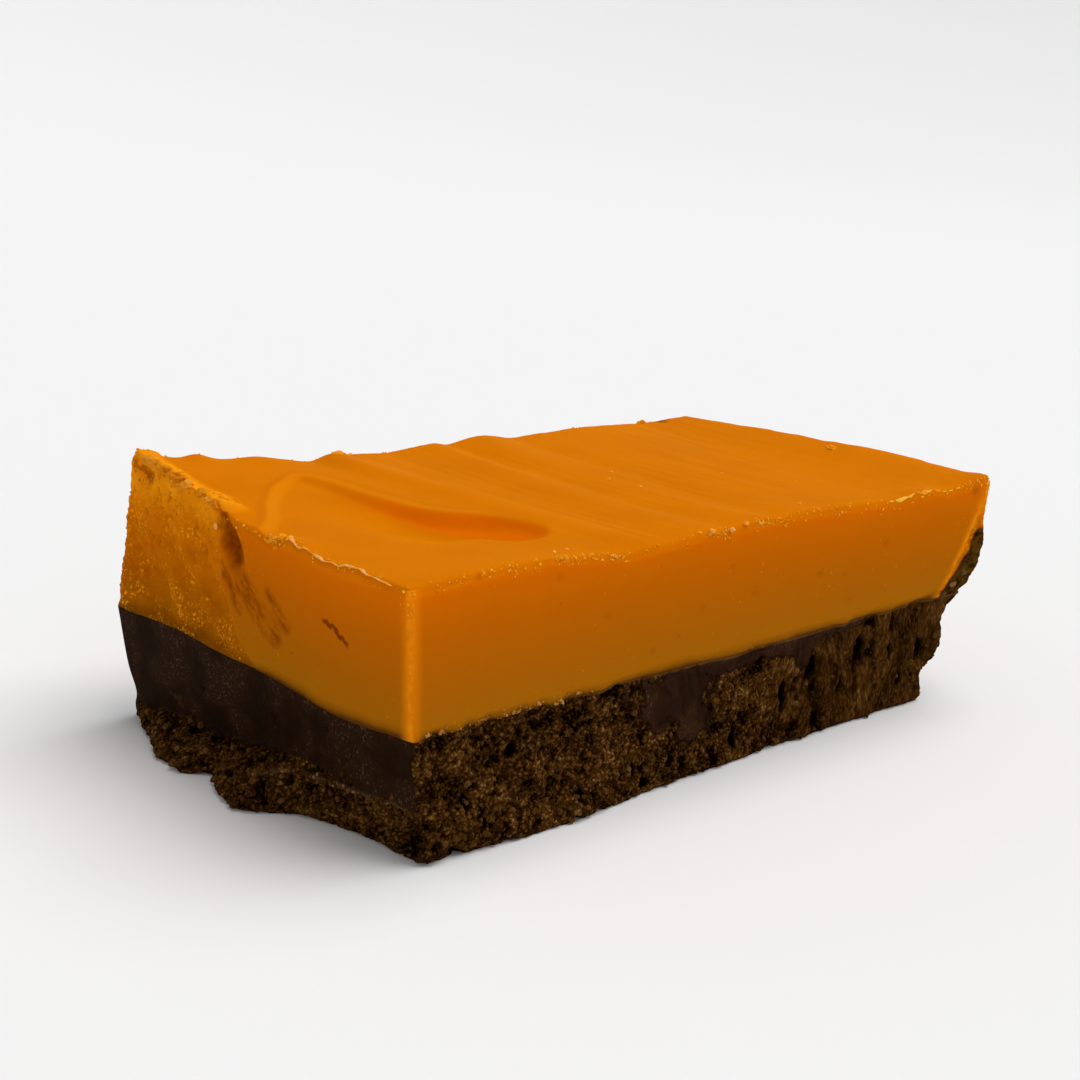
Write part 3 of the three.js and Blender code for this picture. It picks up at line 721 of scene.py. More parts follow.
# %% [markdown]
# ## Helpers for node trees
# A tree of nodes is a recipe: it can be changed by a few named sizes and run again. Written node
# by node it is hard to read, so here a node's result can be added, taken away and multiplied
# like a number, and each sign adds the node for it. Another helper runs a tree on a piece and
# keeps the result as a plain mesh.


# %% A value that nodes work out
class Field:
    """A value that nodes work out. A sum or product of fields is one more node."""

    def __init__(self, recipe, socket):
        self.recipe, self.socket = recipe, socket

    def __add__(self, other):
        return self.recipe.calc("ADD", self, other)

    def __sub__(self, other):
        return self.recipe.calc("SUBTRACT", self, other)

    def __rsub__(self, other):
        return self.recipe.calc("SUBTRACT", other, self)

    def __mul__(self, other):
        return self.recipe.calc("MULTIPLY", self, other)

    def __truediv__(self, other):
        return self.recipe.calc("DIVIDE", self, other)


# %% A tree of nodes
class Recipe:
    """A tree of nodes and the kinds of node that this lesson uses."""

    def __init__(self, tree):
        self.tree = tree

    def link(self, value, socket):
        if isinstance(value, Field):
            self.tree.links.new(value.socket, socket)
        else:
            socket.default_value = (*value, 1) if socket.type == "RGBA" else value

    def add(self, kind, inputs=None, **settings):
        made = self.tree.nodes.new(kind)
        for name, value in settings.items():
            setattr(made, name, value)
        for name, value in (inputs or {}).items():
            self.link(value, made.inputs[name])
        return made

    def field(self, kind, output=0, inputs=None, **settings):
        return Field(self, self.add(kind, inputs, **settings).outputs[output])

    def calc(self, operation, *values):
        return self.field("ShaderNodeMath", 0, dict(enumerate(values)), operation=operation)

    def vector(self, operation, *values, **more):
        return self.field("ShaderNodeVectorMath", 0, {**dict(enumerate(values)), **more}, operation=operation)

    def remap(self, value, low, high, to_low=0.0, to_high=1.0):
        inputs = {"Value": value, "From Min": low, "From Max": high, "To Min": to_low, "To Max": to_high}
        return self.field("ShaderNodeMapRange", "Result", inputs, interpolation_type="SMOOTHSTEP")

    def read(self, name):
        if self.tree.type == "GEOMETRY":
            inputs = {"Name": name}
            return self.field("GeometryNodeInputNamedAttribute", "Attribute", inputs, data_type="FLOAT")
        return self.field("ShaderNodeAttribute", "Fac", attribute_name=name)

    def change_height(self, place, change):
        x, y, z = (Field(self, socket) for socket in self.add("ShaderNodeSeparateXYZ", {0: place}).outputs)
        return self.field("ShaderNodeCombineXYZ", 0, {0: x, 1: y, 2: change(z)})

    def above_floor(self, place):
        return self.change_height(place, lambda z: self.calc("MAXIMUM", z, 0.0))


# %% Start, end and run a tree
def geometry_recipe(name, inputs):
    tree = bpy.data.node_groups.new(name, "GeometryNodeTree")
    inputs = {"Geometry": "Geometry", **inputs, "Finish": "Material"}
    for label, kind in inputs.items():
        tree.interface.new_socket(label, in_out="INPUT", socket_type="NodeSocket" + kind)
    tree.interface.new_socket("Geometry", in_out="OUTPUT", socket_type="NodeSocketGeometry")
    recipe = Recipe(tree)
    outputs = recipe.add("NodeGroupInput").outputs
    return recipe, {label: Field(recipe, outputs[label]) for label in inputs}


def end_tree(recipe, geometry, finish):
    solid = recipe.field("GeometryNodeRealizeInstances", 0, {0: geometry})
    dressed = recipe.field("GeometryNodeSetMaterial", 0, {"Geometry": solid, "Material": finish})
    recipe.add("NodeGroupOutput", {0: dressed})
    print(recipe.tree.name, "has", len(recipe.tree.nodes), "nodes")
    return recipe.tree


def run_tree(piece, tree, values):
    modifier = piece.modifiers.new(tree.name, "NODES")
    modifier.node_group = tree
    for item in tree.interface.items_tree:
        if item.in_out == "INPUT" and item.name in values:
            modifier[item.identifier] = values[item.name]
    evaluated = piece.evaluated_get(bpy.context.evaluated_depsgraph_get())
    mesh = bpy.data.meshes.new_from_object(evaluated)
    piece.modifiers.remove(modifier)
    print(tree.name, "made", len(mesh.vertices), "points,", len(mesh.polygons), "faces")
    return mesh


# %% [markdown]
# ## The orange finish
# Fudge is sugar crystals in fat: light goes in, turns orange and comes out a little further on,
# which is why the slab's edges glow; along the near-left upright edge and the end of the knife
# cut a glow and a bright line are also painted in as light. Plain paint would look like plastic,
# so part of the light is scattered under the surface. The cut faces are duller than the spread top
# and turn yellow towards the seam, where they are also painted darker as shade; just under the top
# edge they carry painted light. Torn parts have bright grains, and their hollows are painted darker
# as shade. The marks come from the attributes.


# %% Finish helpers
class Finish(Recipe):
    """The recipe of a material."""

    def __init__(self, name):
        self.material = bpy.data.materials.new(name)
        self.material.use_nodes = True
        super().__init__(self.material.node_tree)

    def coat(self, inputs):
        for name, value in inputs.items():
            self.link(value, self.tree.nodes["Principled BSDF"].inputs[name])
        print(self.material.name, "has", len(self.tree.nodes), "nodes")
        return self.material

    def place(self):
        return self.field("ShaderNodeTexCoord", "Object")

    def noise(self, where, scale, detail=2.0, roughness=0.5, output="Fac", **more):
        inputs = {"Vector": where, "Scale": scale, "Detail": detail, "Roughness": roughness, **more}
        return self.field("ShaderNodeTexNoise", output, inputs)

    def cells(self, where, scale):
        return self.field("ShaderNodeTexVoronoi", "Distance", {"Vector": where, "Scale": scale}, feature="F1")

    def relief(self, height, strength, distance):
        return self.field("ShaderNodeBump", 0, {"Height": height, "Strength": strength, "Distance": distance})

    def paint(self, colour, *layers):
        for share, over in layers:
            colour = self.field("ShaderNodeMix", 2, {0: share, 6: colour, 7: over}, data_type="RGBA")
        return colour

    def ramp(self, share, stops):
        made = self.add("ShaderNodeValToRGB", {"Fac": share})
        elements = made.color_ramp.elements
        elements.remove(elements[1])
        elements[0].position = stops[0][0]
        for number, (at, colour) in enumerate(stops):
            element = elements.new(at) if number else elements[0]
            element.color = (*colour, 1)
        return Field(self, made.outputs["Color"])


# %% Orange finish
# From the seam up: painted shade darkening the faces and torn fudge towards the seam, a dark line at the seam
# itself, and painted light just under the top edge
FACE_COLOURS_LIT_TO_SHADED = [(0.0, (0.10, 0.034, 0.004)), (0.03, (0.27, 0.090, 0.003)), (0.075, (0.395, 0.130, 0.003)),
                (0.3, (0.435, 0.122, 0.002)), (0.65, (0.53, 0.125, 0.001)), (0.95, (0.675, 0.142, 0.0005)),
                (1.0, (0.72, 0.170, 0.001))]
TORN_COLOURS_LIT_TO_SHADED = [(0.0, (0.17, 0.055, 0.002)), (0.06, (0.33, 0.094, 0.001)), (0.45, (0.49, 0.122, 0.001)),
                (0.80, (0.63, 0.165, 0.001)), (1.0, (0.84, 0.265, 0.003))]
TOP_COLOUR, TOP_COLOUR_DULL = (0.650, 0.162, 0.0003), (0.610, 0.150, 0.0003)
# Painted shade: the groove's steep wall is painted a deeper red. Along the dish's rim: a painted highlight
# strip, and painted shade just inside it
GROOVE_WALL_SHADE_COLOUR, DISH_RIM_HIGHLIGHT_COLOUR, STRIP_SHADE = (0.770, 0.152, 0.0003), (0.69, 0.195, 0.002), (0.57, 0.130, 0.0003)
GRAIN_COLOUR, TORN_HOLLOW_SHADE = (0.80, 0.275, 0.008), (0.46, 0.105, 0.001)
# Stains and the crack's painted shade; a painted highlight line and a painted glow along the upright edge
STAIN_AND_SHADE_COLOUR, EDGE_HIGHLIGHT_COLOUR, EDGE_GLOW_PAINTED_LIGHT = (0.225, 0.042, 0.0005), (0.88, 0.30, 0.006), (0.86, 0.235, 0.003)
SMEAR_COLOUR, SMEAR_DARK = (0.105, 0.045, 0.004), (0.022, 0.0085, 0.0012)
STREAK_TURN = math.radians(34.5)


def orange_finish():
    t = Finish("orange_fudge_finish")
    where, torn, top_skin = t.place(), t.read("torn"), t.read("top_skin")
    cloud, grains = t.noise(where, 70.0), t.noise(where, 1500.0, 3.0, 0.6)
    height = t.read("above_seam") / ORANGE_DEPTH + (cloud - 0.5) * 0.12
    on_face = 1.0 - top_skin
    # The spread top, with painted shade on the groove's steep wall, and a painted highlight strip and painted
    # shade along the dish's rim
    from_rim, dish_shows = t.read("from_dish"), t.read("dish_shows")
    lit_strip = t.remap(from_rim, -0.2, 0.5) * t.remap(from_rim, 2.2, 1.0) * dish_shows
    shade = t.remap(from_rim, -1.6, -0.5) * t.remap(from_rim, 0.1, -0.4) * dish_shows
    top = t.paint(TOP_COLOUR, (t.remap(cloud, 0.35, 0.7), TOP_COLOUR_DULL),
                  (t.read("grooved") * 0.9, GROOVE_WALL_SHADE_COLOUR), (lit_strip * 0.7, DISH_RIM_HIGHLIGHT_COLOUR),
                  (shade * 0.6, STRIP_SHADE))
    # Torn fudge: bright grains in clusters, and hollows painted darker as shade
    clusters = t.calc("MAXIMUM", t.remap(t.noise(where, 260.0), 0.42, 0.62), t.remap(height, 0.75, 0.95))
    specks = t.remap(t.noise(where, 2400.0, 2.0, 0.6), 0.53, 0.64) * clusters
    hollow_shade = t.remap(t.read("hollow"), 0.55, 1.05)
    mottled = t.paint(t.ramp(height, TORN_COLOURS_LIT_TO_SHADED), (specks, GRAIN_COLOUR), (hollow_shade, TORN_HOLLOW_SHADE))
    # Marks: pits, grains of sugar, a painted glow and a painted highlight line along the upright edge,
    # streaks, the crack painted dark as shade, and the smear
    pitted = t.remap(t.cells(where, 420.0), 0.10, 0.05) * t.remap(t.noise(where, 160.0), 0.52, 0.62) * on_face
    sugared = t.remap(t.cells(where, 760.0), 0.14, 0.07) * t.remap(t.noise(where, 110.0), 0.48, 0.62)
    painted_glow = t.remap(t.read("rim"), 2.1, 0.0, 0.0, 0.75)
    rim = t.remap(t.read("rim"), 0.9, 0.1) * t.remap(grains, 0.40, 0.62, 0.1, 0.7)
    turned = t.field("ShaderNodeMapping", 0, {"Vector": where, "Rotation": (STREAK_TURN, 0, 0),
                                              "Scale": (1, 2.6, 1)}, vector_type="TEXTURE")
    streaks = t.remap(t.noise(turned, 900.0, 4.0, 0.7), 0.38, 0.62, 0.12) * t.read("streaky")
    stained = t.read("stain") * t.remap(grains, 0.3, 0.62, 0.7, 1.0)
    # The crack is dented and painted dark as the shade inside it
    jagged = (t.noise(where, 1300.0, 1.0) - 0.5) * 0.9
    from_crack = t.calc("ABSOLUTE", t.read("crack") + jagged)
    crack_shade = t.remap(from_crack, 0.40, 0.14) * t.read("crack_here")
    smeared = t.paint(SMEAR_DARK, (t.remap(t.noise(where, 900.0, 3.0, 0.6), 0.36, 0.66), SMEAR_COLOUR))
    # The faces: painted shade towards the seam and painted light under the top edge, then the marks
    colour = t.paint(t.ramp(height, FACE_COLOURS_LIT_TO_SHADED), (top_skin, top), (torn, mottled),
                     (pitted * 0.4, STAIN_AND_SHADE_COLOUR), (sugared * on_face * 0.5, GRAIN_COLOUR),
                     (painted_glow, EDGE_GLOW_PAINTED_LIGHT), (rim, EDGE_HIGHLIGHT_COLOUR),
                     (streaks * 0.8, STAIN_AND_SHADE_COLOUR), (stained, STAIN_AND_SHADE_COLOUR), (crack_shade, STAIN_AND_SHADE_COLOUR),
                     (t.remap(t.read("smear"), 0.2, 0.6), smeared))
    wiped = t.noise(t.field("ShaderNodeMapping", 0, {"Vector": where, "Scale": (1.0, 0.12, 1.0)}), 900.0)
    fine = grains * 0.6 + wiped * 0.5 - (pitted + crack_shade * 3.0) + sugared * 0.5
    fine = fine * t.remap(torn, 0.0, 1.0, 0.35, 1.0)
    return t.coat({
        "Base Color": colour, "Roughness": t.remap(torn, 0.0, 1.0, 0.5, 0.75) + (grains - 0.5) * 0.2,
        "Normal": t.relief(fine, 0.6, 0.00018),
        "Specular IOR Level": 0.001, "Specular Tint": (1.0, 0.36, 0.02),
        "Subsurface Weight": 0.35, "Subsurface Radius": (1.0, 0.35, 0.08), "Subsurface Scale": 0.0022})


orange_skin = orange_finish()

# %% [markdown]
# ## The chocolate finish
# Where the knife pressed it, chocolate fudge is almost black with a dull sheen, and torn it is
# a brown crumb full of small holes. One finish does both: it reads how torn the place is and
# how deep in a hollow it lies, which the relief below stores on the mesh. On the crumb it paints
# light on the grains and shade in the hollows and pores.

# %% Chocolate finish
SMOOTH_CHOCOLATE, GLAZED_CHOCOLATE = (0.0240, 0.0102, 0.0044), (0.036, 0.0135, 0.0062)
# The crumb from painted shade to painted highlight, over its own brown
CRUMB_COLOURS_LIT_TO_SHADED = [(0.18, (0.0040, 0.0014, 0.0003)), (0.42, (0.032, 0.0115, 0.0020)),
                 (0.62, (0.074, 0.0285, 0.0048)), (0.86, (0.150, 0.064, 0.0140)),
                 (1.0, (0.270, 0.135, 0.0400))]
CRUMB_DARK, SPECK_GREY = (0.002, 0.0008, 0.0003), (0.080, 0.050, 0.030)
SEAM_TAN, LIP_TAN = (0.15, 0.066, 0.018), (0.15, 0.078, 0.036)


def chocolate_finish():
    t = Finish("chocolate_fudge_finish")
    where, torn, drag, glazed = t.place(), t.read("torn"), t.read("drag"), t.read("glazed")
    torn_where = t.change_height(where, lambda z: z * t.remap(drag, 0.0, 1.0, 1.0, 0.5))
    cloud, grains = t.noise(where, 190.0, 3.0), t.noise(torn_where, 1900.0, 3.0, 0.65)
    # Cut smooth: darker clouds and small grey specks
    specks = t.remap(t.noise(where, 2900.0, 1.0), 0.60, 0.68) * t.remap(cloud, 0.46, 0.60, 0.05, 0.75)
    smooth = t.paint(SMOOTH_CHOCOLATE, (glazed, GLAZED_CHOCOLATE),
                     (t.remap(cloud, 0.60, 0.36, 0.0, 0.45), CRUMB_DARK), (specks, SPECK_GREY))
    # Torn: painted light and shade: how light a grain is painted depends on its cell, its hollow and its
    # patch
    bent = t.vector("SCALE", t.noise(torn_where, 1400.0, output="Color"), Scale=0.0007)
    cells = t.remap(t.cells(t.vector("ADD", torn_where, bent), 2000.0), 0.75, 0.15)
    lit = cells * 0.42 + (1.0 - t.read("hollow")) * 0.42 + (grains - 0.42) * 0.7
    lit = (lit - 0.55) * t.remap(drag, 0.2, 1.0, 1.0, 0.6) + 0.55
    lit = lit + (t.noise(torn_where, 260.0, 3.0) - 0.48)
    seam = t.remap(t.read("below_seam"), 0.42, 0.0, 0.0, 0.8) * t.read("seam_shows")
    # Pores are painted near black as the shade inside them
    colour = t.paint(smooth, (torn, t.ramp(lit, CRUMB_COLOURS_LIT_TO_SHADED)),
                     (t.remap(t.read("pore"), 0.15, 0.6), CRUMB_DARK), (t.read("lip") * 0.5, LIP_TAN),
                     (seam, SEAM_TAN))
    swirl = t.noise(where, 150.0, 1.0, Distortion=2.2) * (glazed * 12.0)
    waxy, rugged = t.noise(where, 900.0, 3.0, 0.6) * 0.5 + swirl, grains + cells * 0.8
    fine = t.field("ShaderNodeMix", 0, {0: torn, 2: waxy, 3: rugged})
    return t.coat({
        "Base Color": colour, "Roughness": t.remap(torn, 0.0, 1.0, 0.42, 0.85),
        "Normal": t.relief(fine, 0.8, 0.0003),
        "Specular IOR Level": 0.005, "Specular Tint": (0.8, 0.5, 0.35)})


chocolate_skin = chocolate_finish()

# %% [markdown]
# ## Crumb relief
# Torn fudge breaks round its grains. Sculpting thousands of grains is hopeless, and a bump in
# the finish alone would leave the outline smooth. So Geometry Nodes move the points: cells of
# a Voronoi pattern become grains, finer cells and noise roughen them, and slow noise opens
# pores. Where the tear dragged the crumb, the pattern is stretched upwards.


# %% Relief tree
def crumb_relief_tree():
    t, given = geometry_recipe("crumb_relief", {"Grain size": "Float", "Grain height": "Float",
                                                "Pore depth": "Float", "Seed": "Int"})
    size, height = given["Grain size"], given["Grain height"]
    density = t.calc("DIVIDE", 1.0, size)

    def pattern(kind, where, times, output, **more):
        inputs = {"Vector": where, "W": given["Seed"], "Scale": density * times, **more}
        return t.field("ShaderNodeTex" + kind, output, inputs, **{kind.lower() + "_dimensions": "4D"})

    place = t.field("GeometryNodeInputPosition")
    where = t.change_height(place, lambda z: z * t.remap(t.read("drag"), 0.0, 1.0, 1.0, 0.42))
    wobble = t.vector("SUBTRACT", pattern("Noise", where, 0.8, "Color", Detail=1.0), (0.5, 0.5, 0.5))
    where = t.vector("ADD", where, t.vector("SCALE", wobble, Scale=size))
    cells, small_cells = (pattern("Voronoi", where, times, "Distance") for times in (1.0, 2.1))
    wander = pattern("Noise", where, 2.6, "Fac", Detail=3.0)
    holes = pattern("Noise", where, 0.42, "Fac", Detail=1.0)
    relief = (0.55 - cells + (0.5 - small_cells) * 0.5 + (wander - 0.5) * 0.9) * height
    pores = t.remap(holes, 0.42, 0.28) * given["Pore depth"]
    offset = (relief - pores) * t.read("loose")
    push = t.vector("SCALE", t.field("GeometryNodeInputNormal"), Scale=offset)
    stored = t.field("GeometryNodeStoreNamedAttribute", 0, {
        "Geometry": given["Geometry"], "Name": "hollow", "Value": t.remap(offset / height, 0.35, -0.75)},
        data_type="FLOAT", domain="POINT")
    moved = t.above_floor(t.vector("ADD", place, push))
    skin = t.field("GeometryNodeSetPosition", 0, {"Geometry": stored, "Position": moved})
    return end_tree(t, skin, given["Finish"])


relief_tree = crumb_relief_tree()


# %% Numbers on the points of a mesh
def read_points(mesh):
    values = np.empty(len(mesh.vertices) * 3)
    mesh.vertices.foreach_get("co", values)
    return (values.reshape(-1, 3) * MILLIMETRES + MIDDLE_OF_SLAB).T


def read_mask(mesh, name):
    values = np.empty(len(mesh.vertices))
    mesh.attributes[name].data.foreach_get("value", values)
    return values


# %% [markdown]
# The seam shows a thin tan line along most of the long face, where the layers mixed. One more
# attribute says where. Then both layers get their relief: coarse and deep for the chocolate,
# fine and shallow for the orange, which tears more cleanly.

# %% Grow the relief
x, y, z = read_points(chocolate_slab.data)
write_mask(chocolate_slab.data, "seam_shows", smoothstep(-y, 26, 27) * smoothstep(x, -30, -24))
GRAIN_SIZE = 0.0011
# Layer, height of its grains and depth of its pores in metres, seed, finish
GRAINS = [(chocolate_slab, 0.0007, 0.0011, 4, chocolate_skin), (orange_slab, 0.00036, 0.0002, 9, orange_skin)]
for piece, grain_height, pore_depth, seed, skin in GRAINS:
    piece.data = run_tree(piece, relief_tree, {"Grain size": GRAIN_SIZE, "Grain height": grain_height,
                                               "Pore depth": pore_depth, "Seed": seed, "Finish": skin})

# %% [markdown]
# ## Loose crumbs
# Crumbs cling to the torn faces and lie along the top edges. Each kind is one scatter of a few
# crumb shapes. The shapes are small balls pushed out of round, and the scatter turns each one,
# gives it its own size and stores a random tint, so that no two look the same.


# %% Scatter tree
def scatter_tree(name):
    t, given = geometry_recipe(name, {"Where": "String", "Per square metre": "Float", "Smallest": "Float",
                                      "Largest": "Float", "Seed": "Int"})

    def chance(kind, low, high, seed):
        number = ["FLOAT_VECTOR", "FLOAT", "INT"].index(kind)
        inputs = {2 * number: low, 2 * number + 1: high, "Seed": seed}
        return t.field("FunctionNodeRandomValue", number, inputs, data_type=kind)

    density = t.read(given["Where"]) * given["Per square metre"]
    spread = t.field("GeometryNodeDistributePointsOnFaces", "Points", {
        "Mesh": given["Geometry"], "Density": density, "Seed": given["Seed"]})
    shapes = t.add("GeometryNodeJoinGeometry")
    for number in range(4):
        ball = t.field("GeometryNodeMeshIcoSphere", 0, {"Radius": 0.5, "Subdivisions": 2})
        dents = t.field("ShaderNodeTexNoise", "Color", {"W": 7.3 * number, "Scale": 2.6, "Detail": 3.0,
                                                        "Roughness": 0.65}, noise_dimensions="4D")
        dents = t.vector("SCALE", t.vector("SUBTRACT", dents, (0.5, 0.5, 0.5)), Scale=1.7)
        crumb = t.field("GeometryNodeSetPosition", 0, {"Geometry": ball, "Offset": dents})
        t.link(t.field("GeometryNodeGeometryToInstance", 0, {0: crumb}), shapes.inputs[0])
    small, large = given["Smallest"], given["Largest"]
    size = t.calc("MULTIPLY_ADD", t.calc("POWER", chance("FLOAT", 0.0, 1.0, 11), 2.2), large - small, small)
    placed = t.field("GeometryNodeInstanceOnPoints", 0, {
        "Points": spread, "Instance": Field(t, shapes.outputs[0]), "Pick Instance": True,
        "Instance Index": chance("INT", 0, 3, 12), "Scale": size,
        "Rotation": chance("FLOAT_VECTOR", (0.0, 0.0, 0.0), (6.28, 6.28, 6.28), 13)})
    tinted = t.field("GeometryNodeStoreNamedAttribute", 0, {
        "Geometry": placed, "Name": "tint", "Value": chance("FLOAT", 0.0, 1.0, 14)},
        data_type="FLOAT", domain="INSTANCE")
    solid = t.field("GeometryNodeRealizeInstances", 0, {0: tinted})
    position = t.above_floor(t.field("GeometryNodeInputPosition"))
    kept = t.field("GeometryNodeSetPosition", 0, {"Geometry": solid, "Position": position})
    return end_tree(t, kept, given["Finish"])


crumb_scatter = scatter_tree("crumb_scatter")

# %% Finishes of the crumbs
# For each: colours from dark to light, tint of the sheen, share of light scattered inside
CRUMB_FINISHES = {
    "brown": ([(0.1, (0.014, 0.0050, 0.0009)), (0.5, (0.052, 0.0200, 0.0036)), (0.8, (0.100, 0.042, 0.0090)),
               (1.0, (0.17, 0.076, 0.021))], (0.7, 0.45, 0.3), 0.0),
    "tan": ([(0.1, (0.07, 0.030, 0.009)), (0.6, (0.17, 0.085, 0.032)), (1.0, (0.30, 0.16, 0.07))],
            (0.8, 0.6, 0.4), 0.0),
    "amber": ([(0.1, (0.22, 0.085, 0.008)), (0.6, (0.45, 0.19, 0.035)), (1.0, (0.62, 0.30, 0.08))],
              (1.0, 0.5, 0.1), 0.2),
    "golden": ([(0.1, (0.78, 0.235, 0.003)), (0.6, (0.90, 0.34, 0.010)), (1.0, (0.95, 0.50, 0.06))],
               (1.0, 0.5, 0.1), 0.3),
    "torn": ([(0.1, (0.58, 0.175, 0.003)), (0.6, (0.66, 0.225, 0.007)), (1.0, (0.80, 0.33, 0.03))],
             (1.0, 0.5, 0.1), 0.4),
    "pale": ([(0.1, (0.88, 0.29, 0.022)), (0.6, (0.93, 0.36, 0.055)), (1.0, (0.96, 0.47, 0.16))],
             (1.0, 0.6, 0.3), 0.3)}


def crumb_finish(name, colours, tint, scatter_under):
    t = Finish(name + "_crumb_finish")
    speckle = t.noise(t.place(), 4000.0)
    return t.coat({
        "Base Color": t.ramp(t.read("tint") * 0.75 + speckle * 0.3, colours),
        "Normal": t.relief(speckle, 0.7, 0.0001), "Roughness": 0.8,
        "Specular IOR Level": 0.06, "Specular Tint": tint, "Subsurface Weight": scatter_under,
        "Subsurface Radius": (1.0, 0.4, 0.1), "Subsurface Scale": 0.0006})


CRUMB_SKINS = {name: crumb_finish(name, *row) for name, row in CRUMB_FINISHES.items()}

# %% Where crumbs cling
# Place along the edge and share of crumbs there
CRUMBS_ON_NEAR_EDGE = [(-50, 0.2), (-36, 0.1), (-31, 0.9), (-23, 0.9), (-20, 0.5), (-14, 0.9), (-9, 0.2),
                       (-6, 0.5), (2, 0.6), (12, 0.4), (15, 0.1), (24, 0.2), (36, 0.2), (44, 0.1), (58, 0.4)]
CRUMBS_ON_LEFT_EDGE = [(-28, 0.2), (-7, 0.2), (-4, 0.8), (-1, 0.8), (1, 0.15), (8, 0.2), (11, 0.6), (26, 0.7)]
x, y, z = read_points(chocolate_slab.data)
clinging = read_mask(chocolate_slab.data, "loose") * (1 - read_mask(chocolate_slab.data, "pore"))
clinging = clinging * (0.5 + 0.5 * smoothstep(-z, -9, 0)) * smoothstep(z, 0.1, 0.5)
write_mask(chocolate_slab.data, "clinging", clinging)
x, y, z = read_points(orange_slab.data)
edge, torn = read_mask(orange_slab.data, "edge"), read_mask(orange_slab.data, "torn")
rim, above = read_mask(orange_slab.data, "rim"), read_mask(orange_slab.data, "above_seam")
near_edge = smoothstep(-y, 26, 27.5) * along(CRUMBS_ON_NEAR_EDGE, x)
left_edge = smoothstep(-x, 48, 49.5) * along(CRUMBS_ON_LEFT_EDGE, y)
patchy = smoothstep(grain(x, y, z, 2.3), -0.35, 0.45)
on_edge = bump(np.sqrt(-np.log(np.maximum(edge, 1e-6))) * 1.7) * np.maximum(near_edge, left_edge)
on_upright = 0.10 * bump(rim / 0.4) * smoothstep(-x, 45, 46) * (above > 0.1)
write_mask(orange_slab.data, "crumby", patchy * (on_edge + on_upright) + 0.04 * edge)
where_torn = 0.10 + 0.7 * smoothstep(z, 28.5, 30.5) + 0.4 * bump((above - 2.5) / 2.5) * smoothstep(-x, 40, 45)
where_torn = where_torn * (above > 0.1) * (1 - read_mask(orange_slab.data, "smear"))
write_mask(orange_slab.data, "grainy", patchy * torn * where_torn)
print("masks for the crumbs are on both layers")

# %% Scatter the crumbs
# Name, layer, mask, crumbs per square metre, smallest and largest in metres, seed, finish
CRUMBS = [("chocolate_crumbs", chocolate_slab, "clinging", 780000, 0.00018, 0.00085, 21, "brown"),
          ("chocolate_lip_crumbs", chocolate_slab, "lip", 4000000, 0.00012, 0.00042, 25, "tan"),
          ("golden_edge_crumbs", orange_slab, "crumby", 30000000, 0.00008, 0.00036, 22, "golden"),
          ("golden_torn_crumbs", orange_slab, "grainy", 3000000, 0.00010, 0.00038, 23, "torn"),
          ("amber_seam_crumbs", orange_slab, "seamy", 9000000, 0.00014, 0.00060, 26, "amber"),
          ("pale_edge_crumbs", orange_slab, "crumby", 1200000, 0.00014, 0.00045, 24, "pale")]
crumb_pieces = []
for name, carrier, mask, density, smallest, largest, seed, finish in CRUMBS:
    mesh = run_tree(carrier, crumb_scatter, {
        "Where": mask, "Per square metre": float(density), "Smallest": smallest, "Largest": largest,
        "Seed": seed, "Finish": CRUMB_SKINS[finish]})
    crumb_pieces.append(new_object(name, mesh))

# %% [markdown]
# ## Bits and curls
# Some bits are large enough to be seen one by one, and the picture shows where each lies. Each is
# a ball pushed out of round by the same grain, flattened and turned. Along two edges the knife
# rolled up a thin curl: a tube that follows the edge and swells and thins on its way.

# %% Bits seen one by one
# Place in millimetres, three half sizes and a turn in degrees
ON_TOP, SUNK = None, 0.1
# The bits along the crest of the torn corner, at x near -49, are painted highlights along it; the others are
# pale crumbs
PALE_BITS = [(11, 3.2, ON_TOP, 0.42, 0.32, 0.22, 20), (6.6, -0.7, ON_TOP, 0.28, 0.22, 0.18, 0),
             (7.6, -5.9, ON_TOP, 0.34, 0.26, 0.2, 60), (30.1, -14.5, ON_TOP, 0.34, 0.26, 0.2, 0),
             (18.5, -24.7, ON_TOP, 0.38, 0.3, 0.22, 40), (-26.5, -25.4, ON_TOP, 0.62, 0.26, 0.24, 60),
             (-24, -24.9, ON_TOP, 0.62, 0.24, 0.22, 35), (-2.6, -28.4, ON_TOP, 0.42, 0.34, 0.3, 10),
             (0.8, -28.6, ON_TOP, 0.3, 0.26, 0.24, 30), (3.8, -28.3, ON_TOP, 0.34, 0.22, 0.22, 0),
             (-49.4, 12.6, ON_TOP, 0.8, 0.22, 0.25, 80), (-48.6, 18, ON_TOP, 0.7, 0.25, 0.25, 100),
             (-49, 24, ON_TOP, 0.7, 0.25, 0.3, 70), (-50.2, 9.4, 30.2, 0.18, 0.3, 0.35, 0)]
GOLDEN_BITS = [(51.4, -3.9, ON_TOP, 1.2, 0.8, 0.42, 30), (-18.3, 28.4, ON_TOP, 1.5, 0.5, 0.42, 8),
               (-16.2, 28.3, ON_TOP, 0.7, 0.45, 0.4, 40), (41.6, 27.4, ON_TOP, 1.1, 0.6, 0.42, 0),
               (-49.9, -4.2, 32.1, 0.45, 0.5, 0.35, 0), (-49.8, -5.6, 32.2, 0.35, 0.4, 0.3, 30),
               (-40, -28.3, ON_TOP, 0.3, 0.3, 0.25, 0), (24, -6, ON_TOP, 0.3, 0.25, 0.16, 0),
               (-8, 12, ON_TOP, 0.22, 0.2, 0.14, 0)]
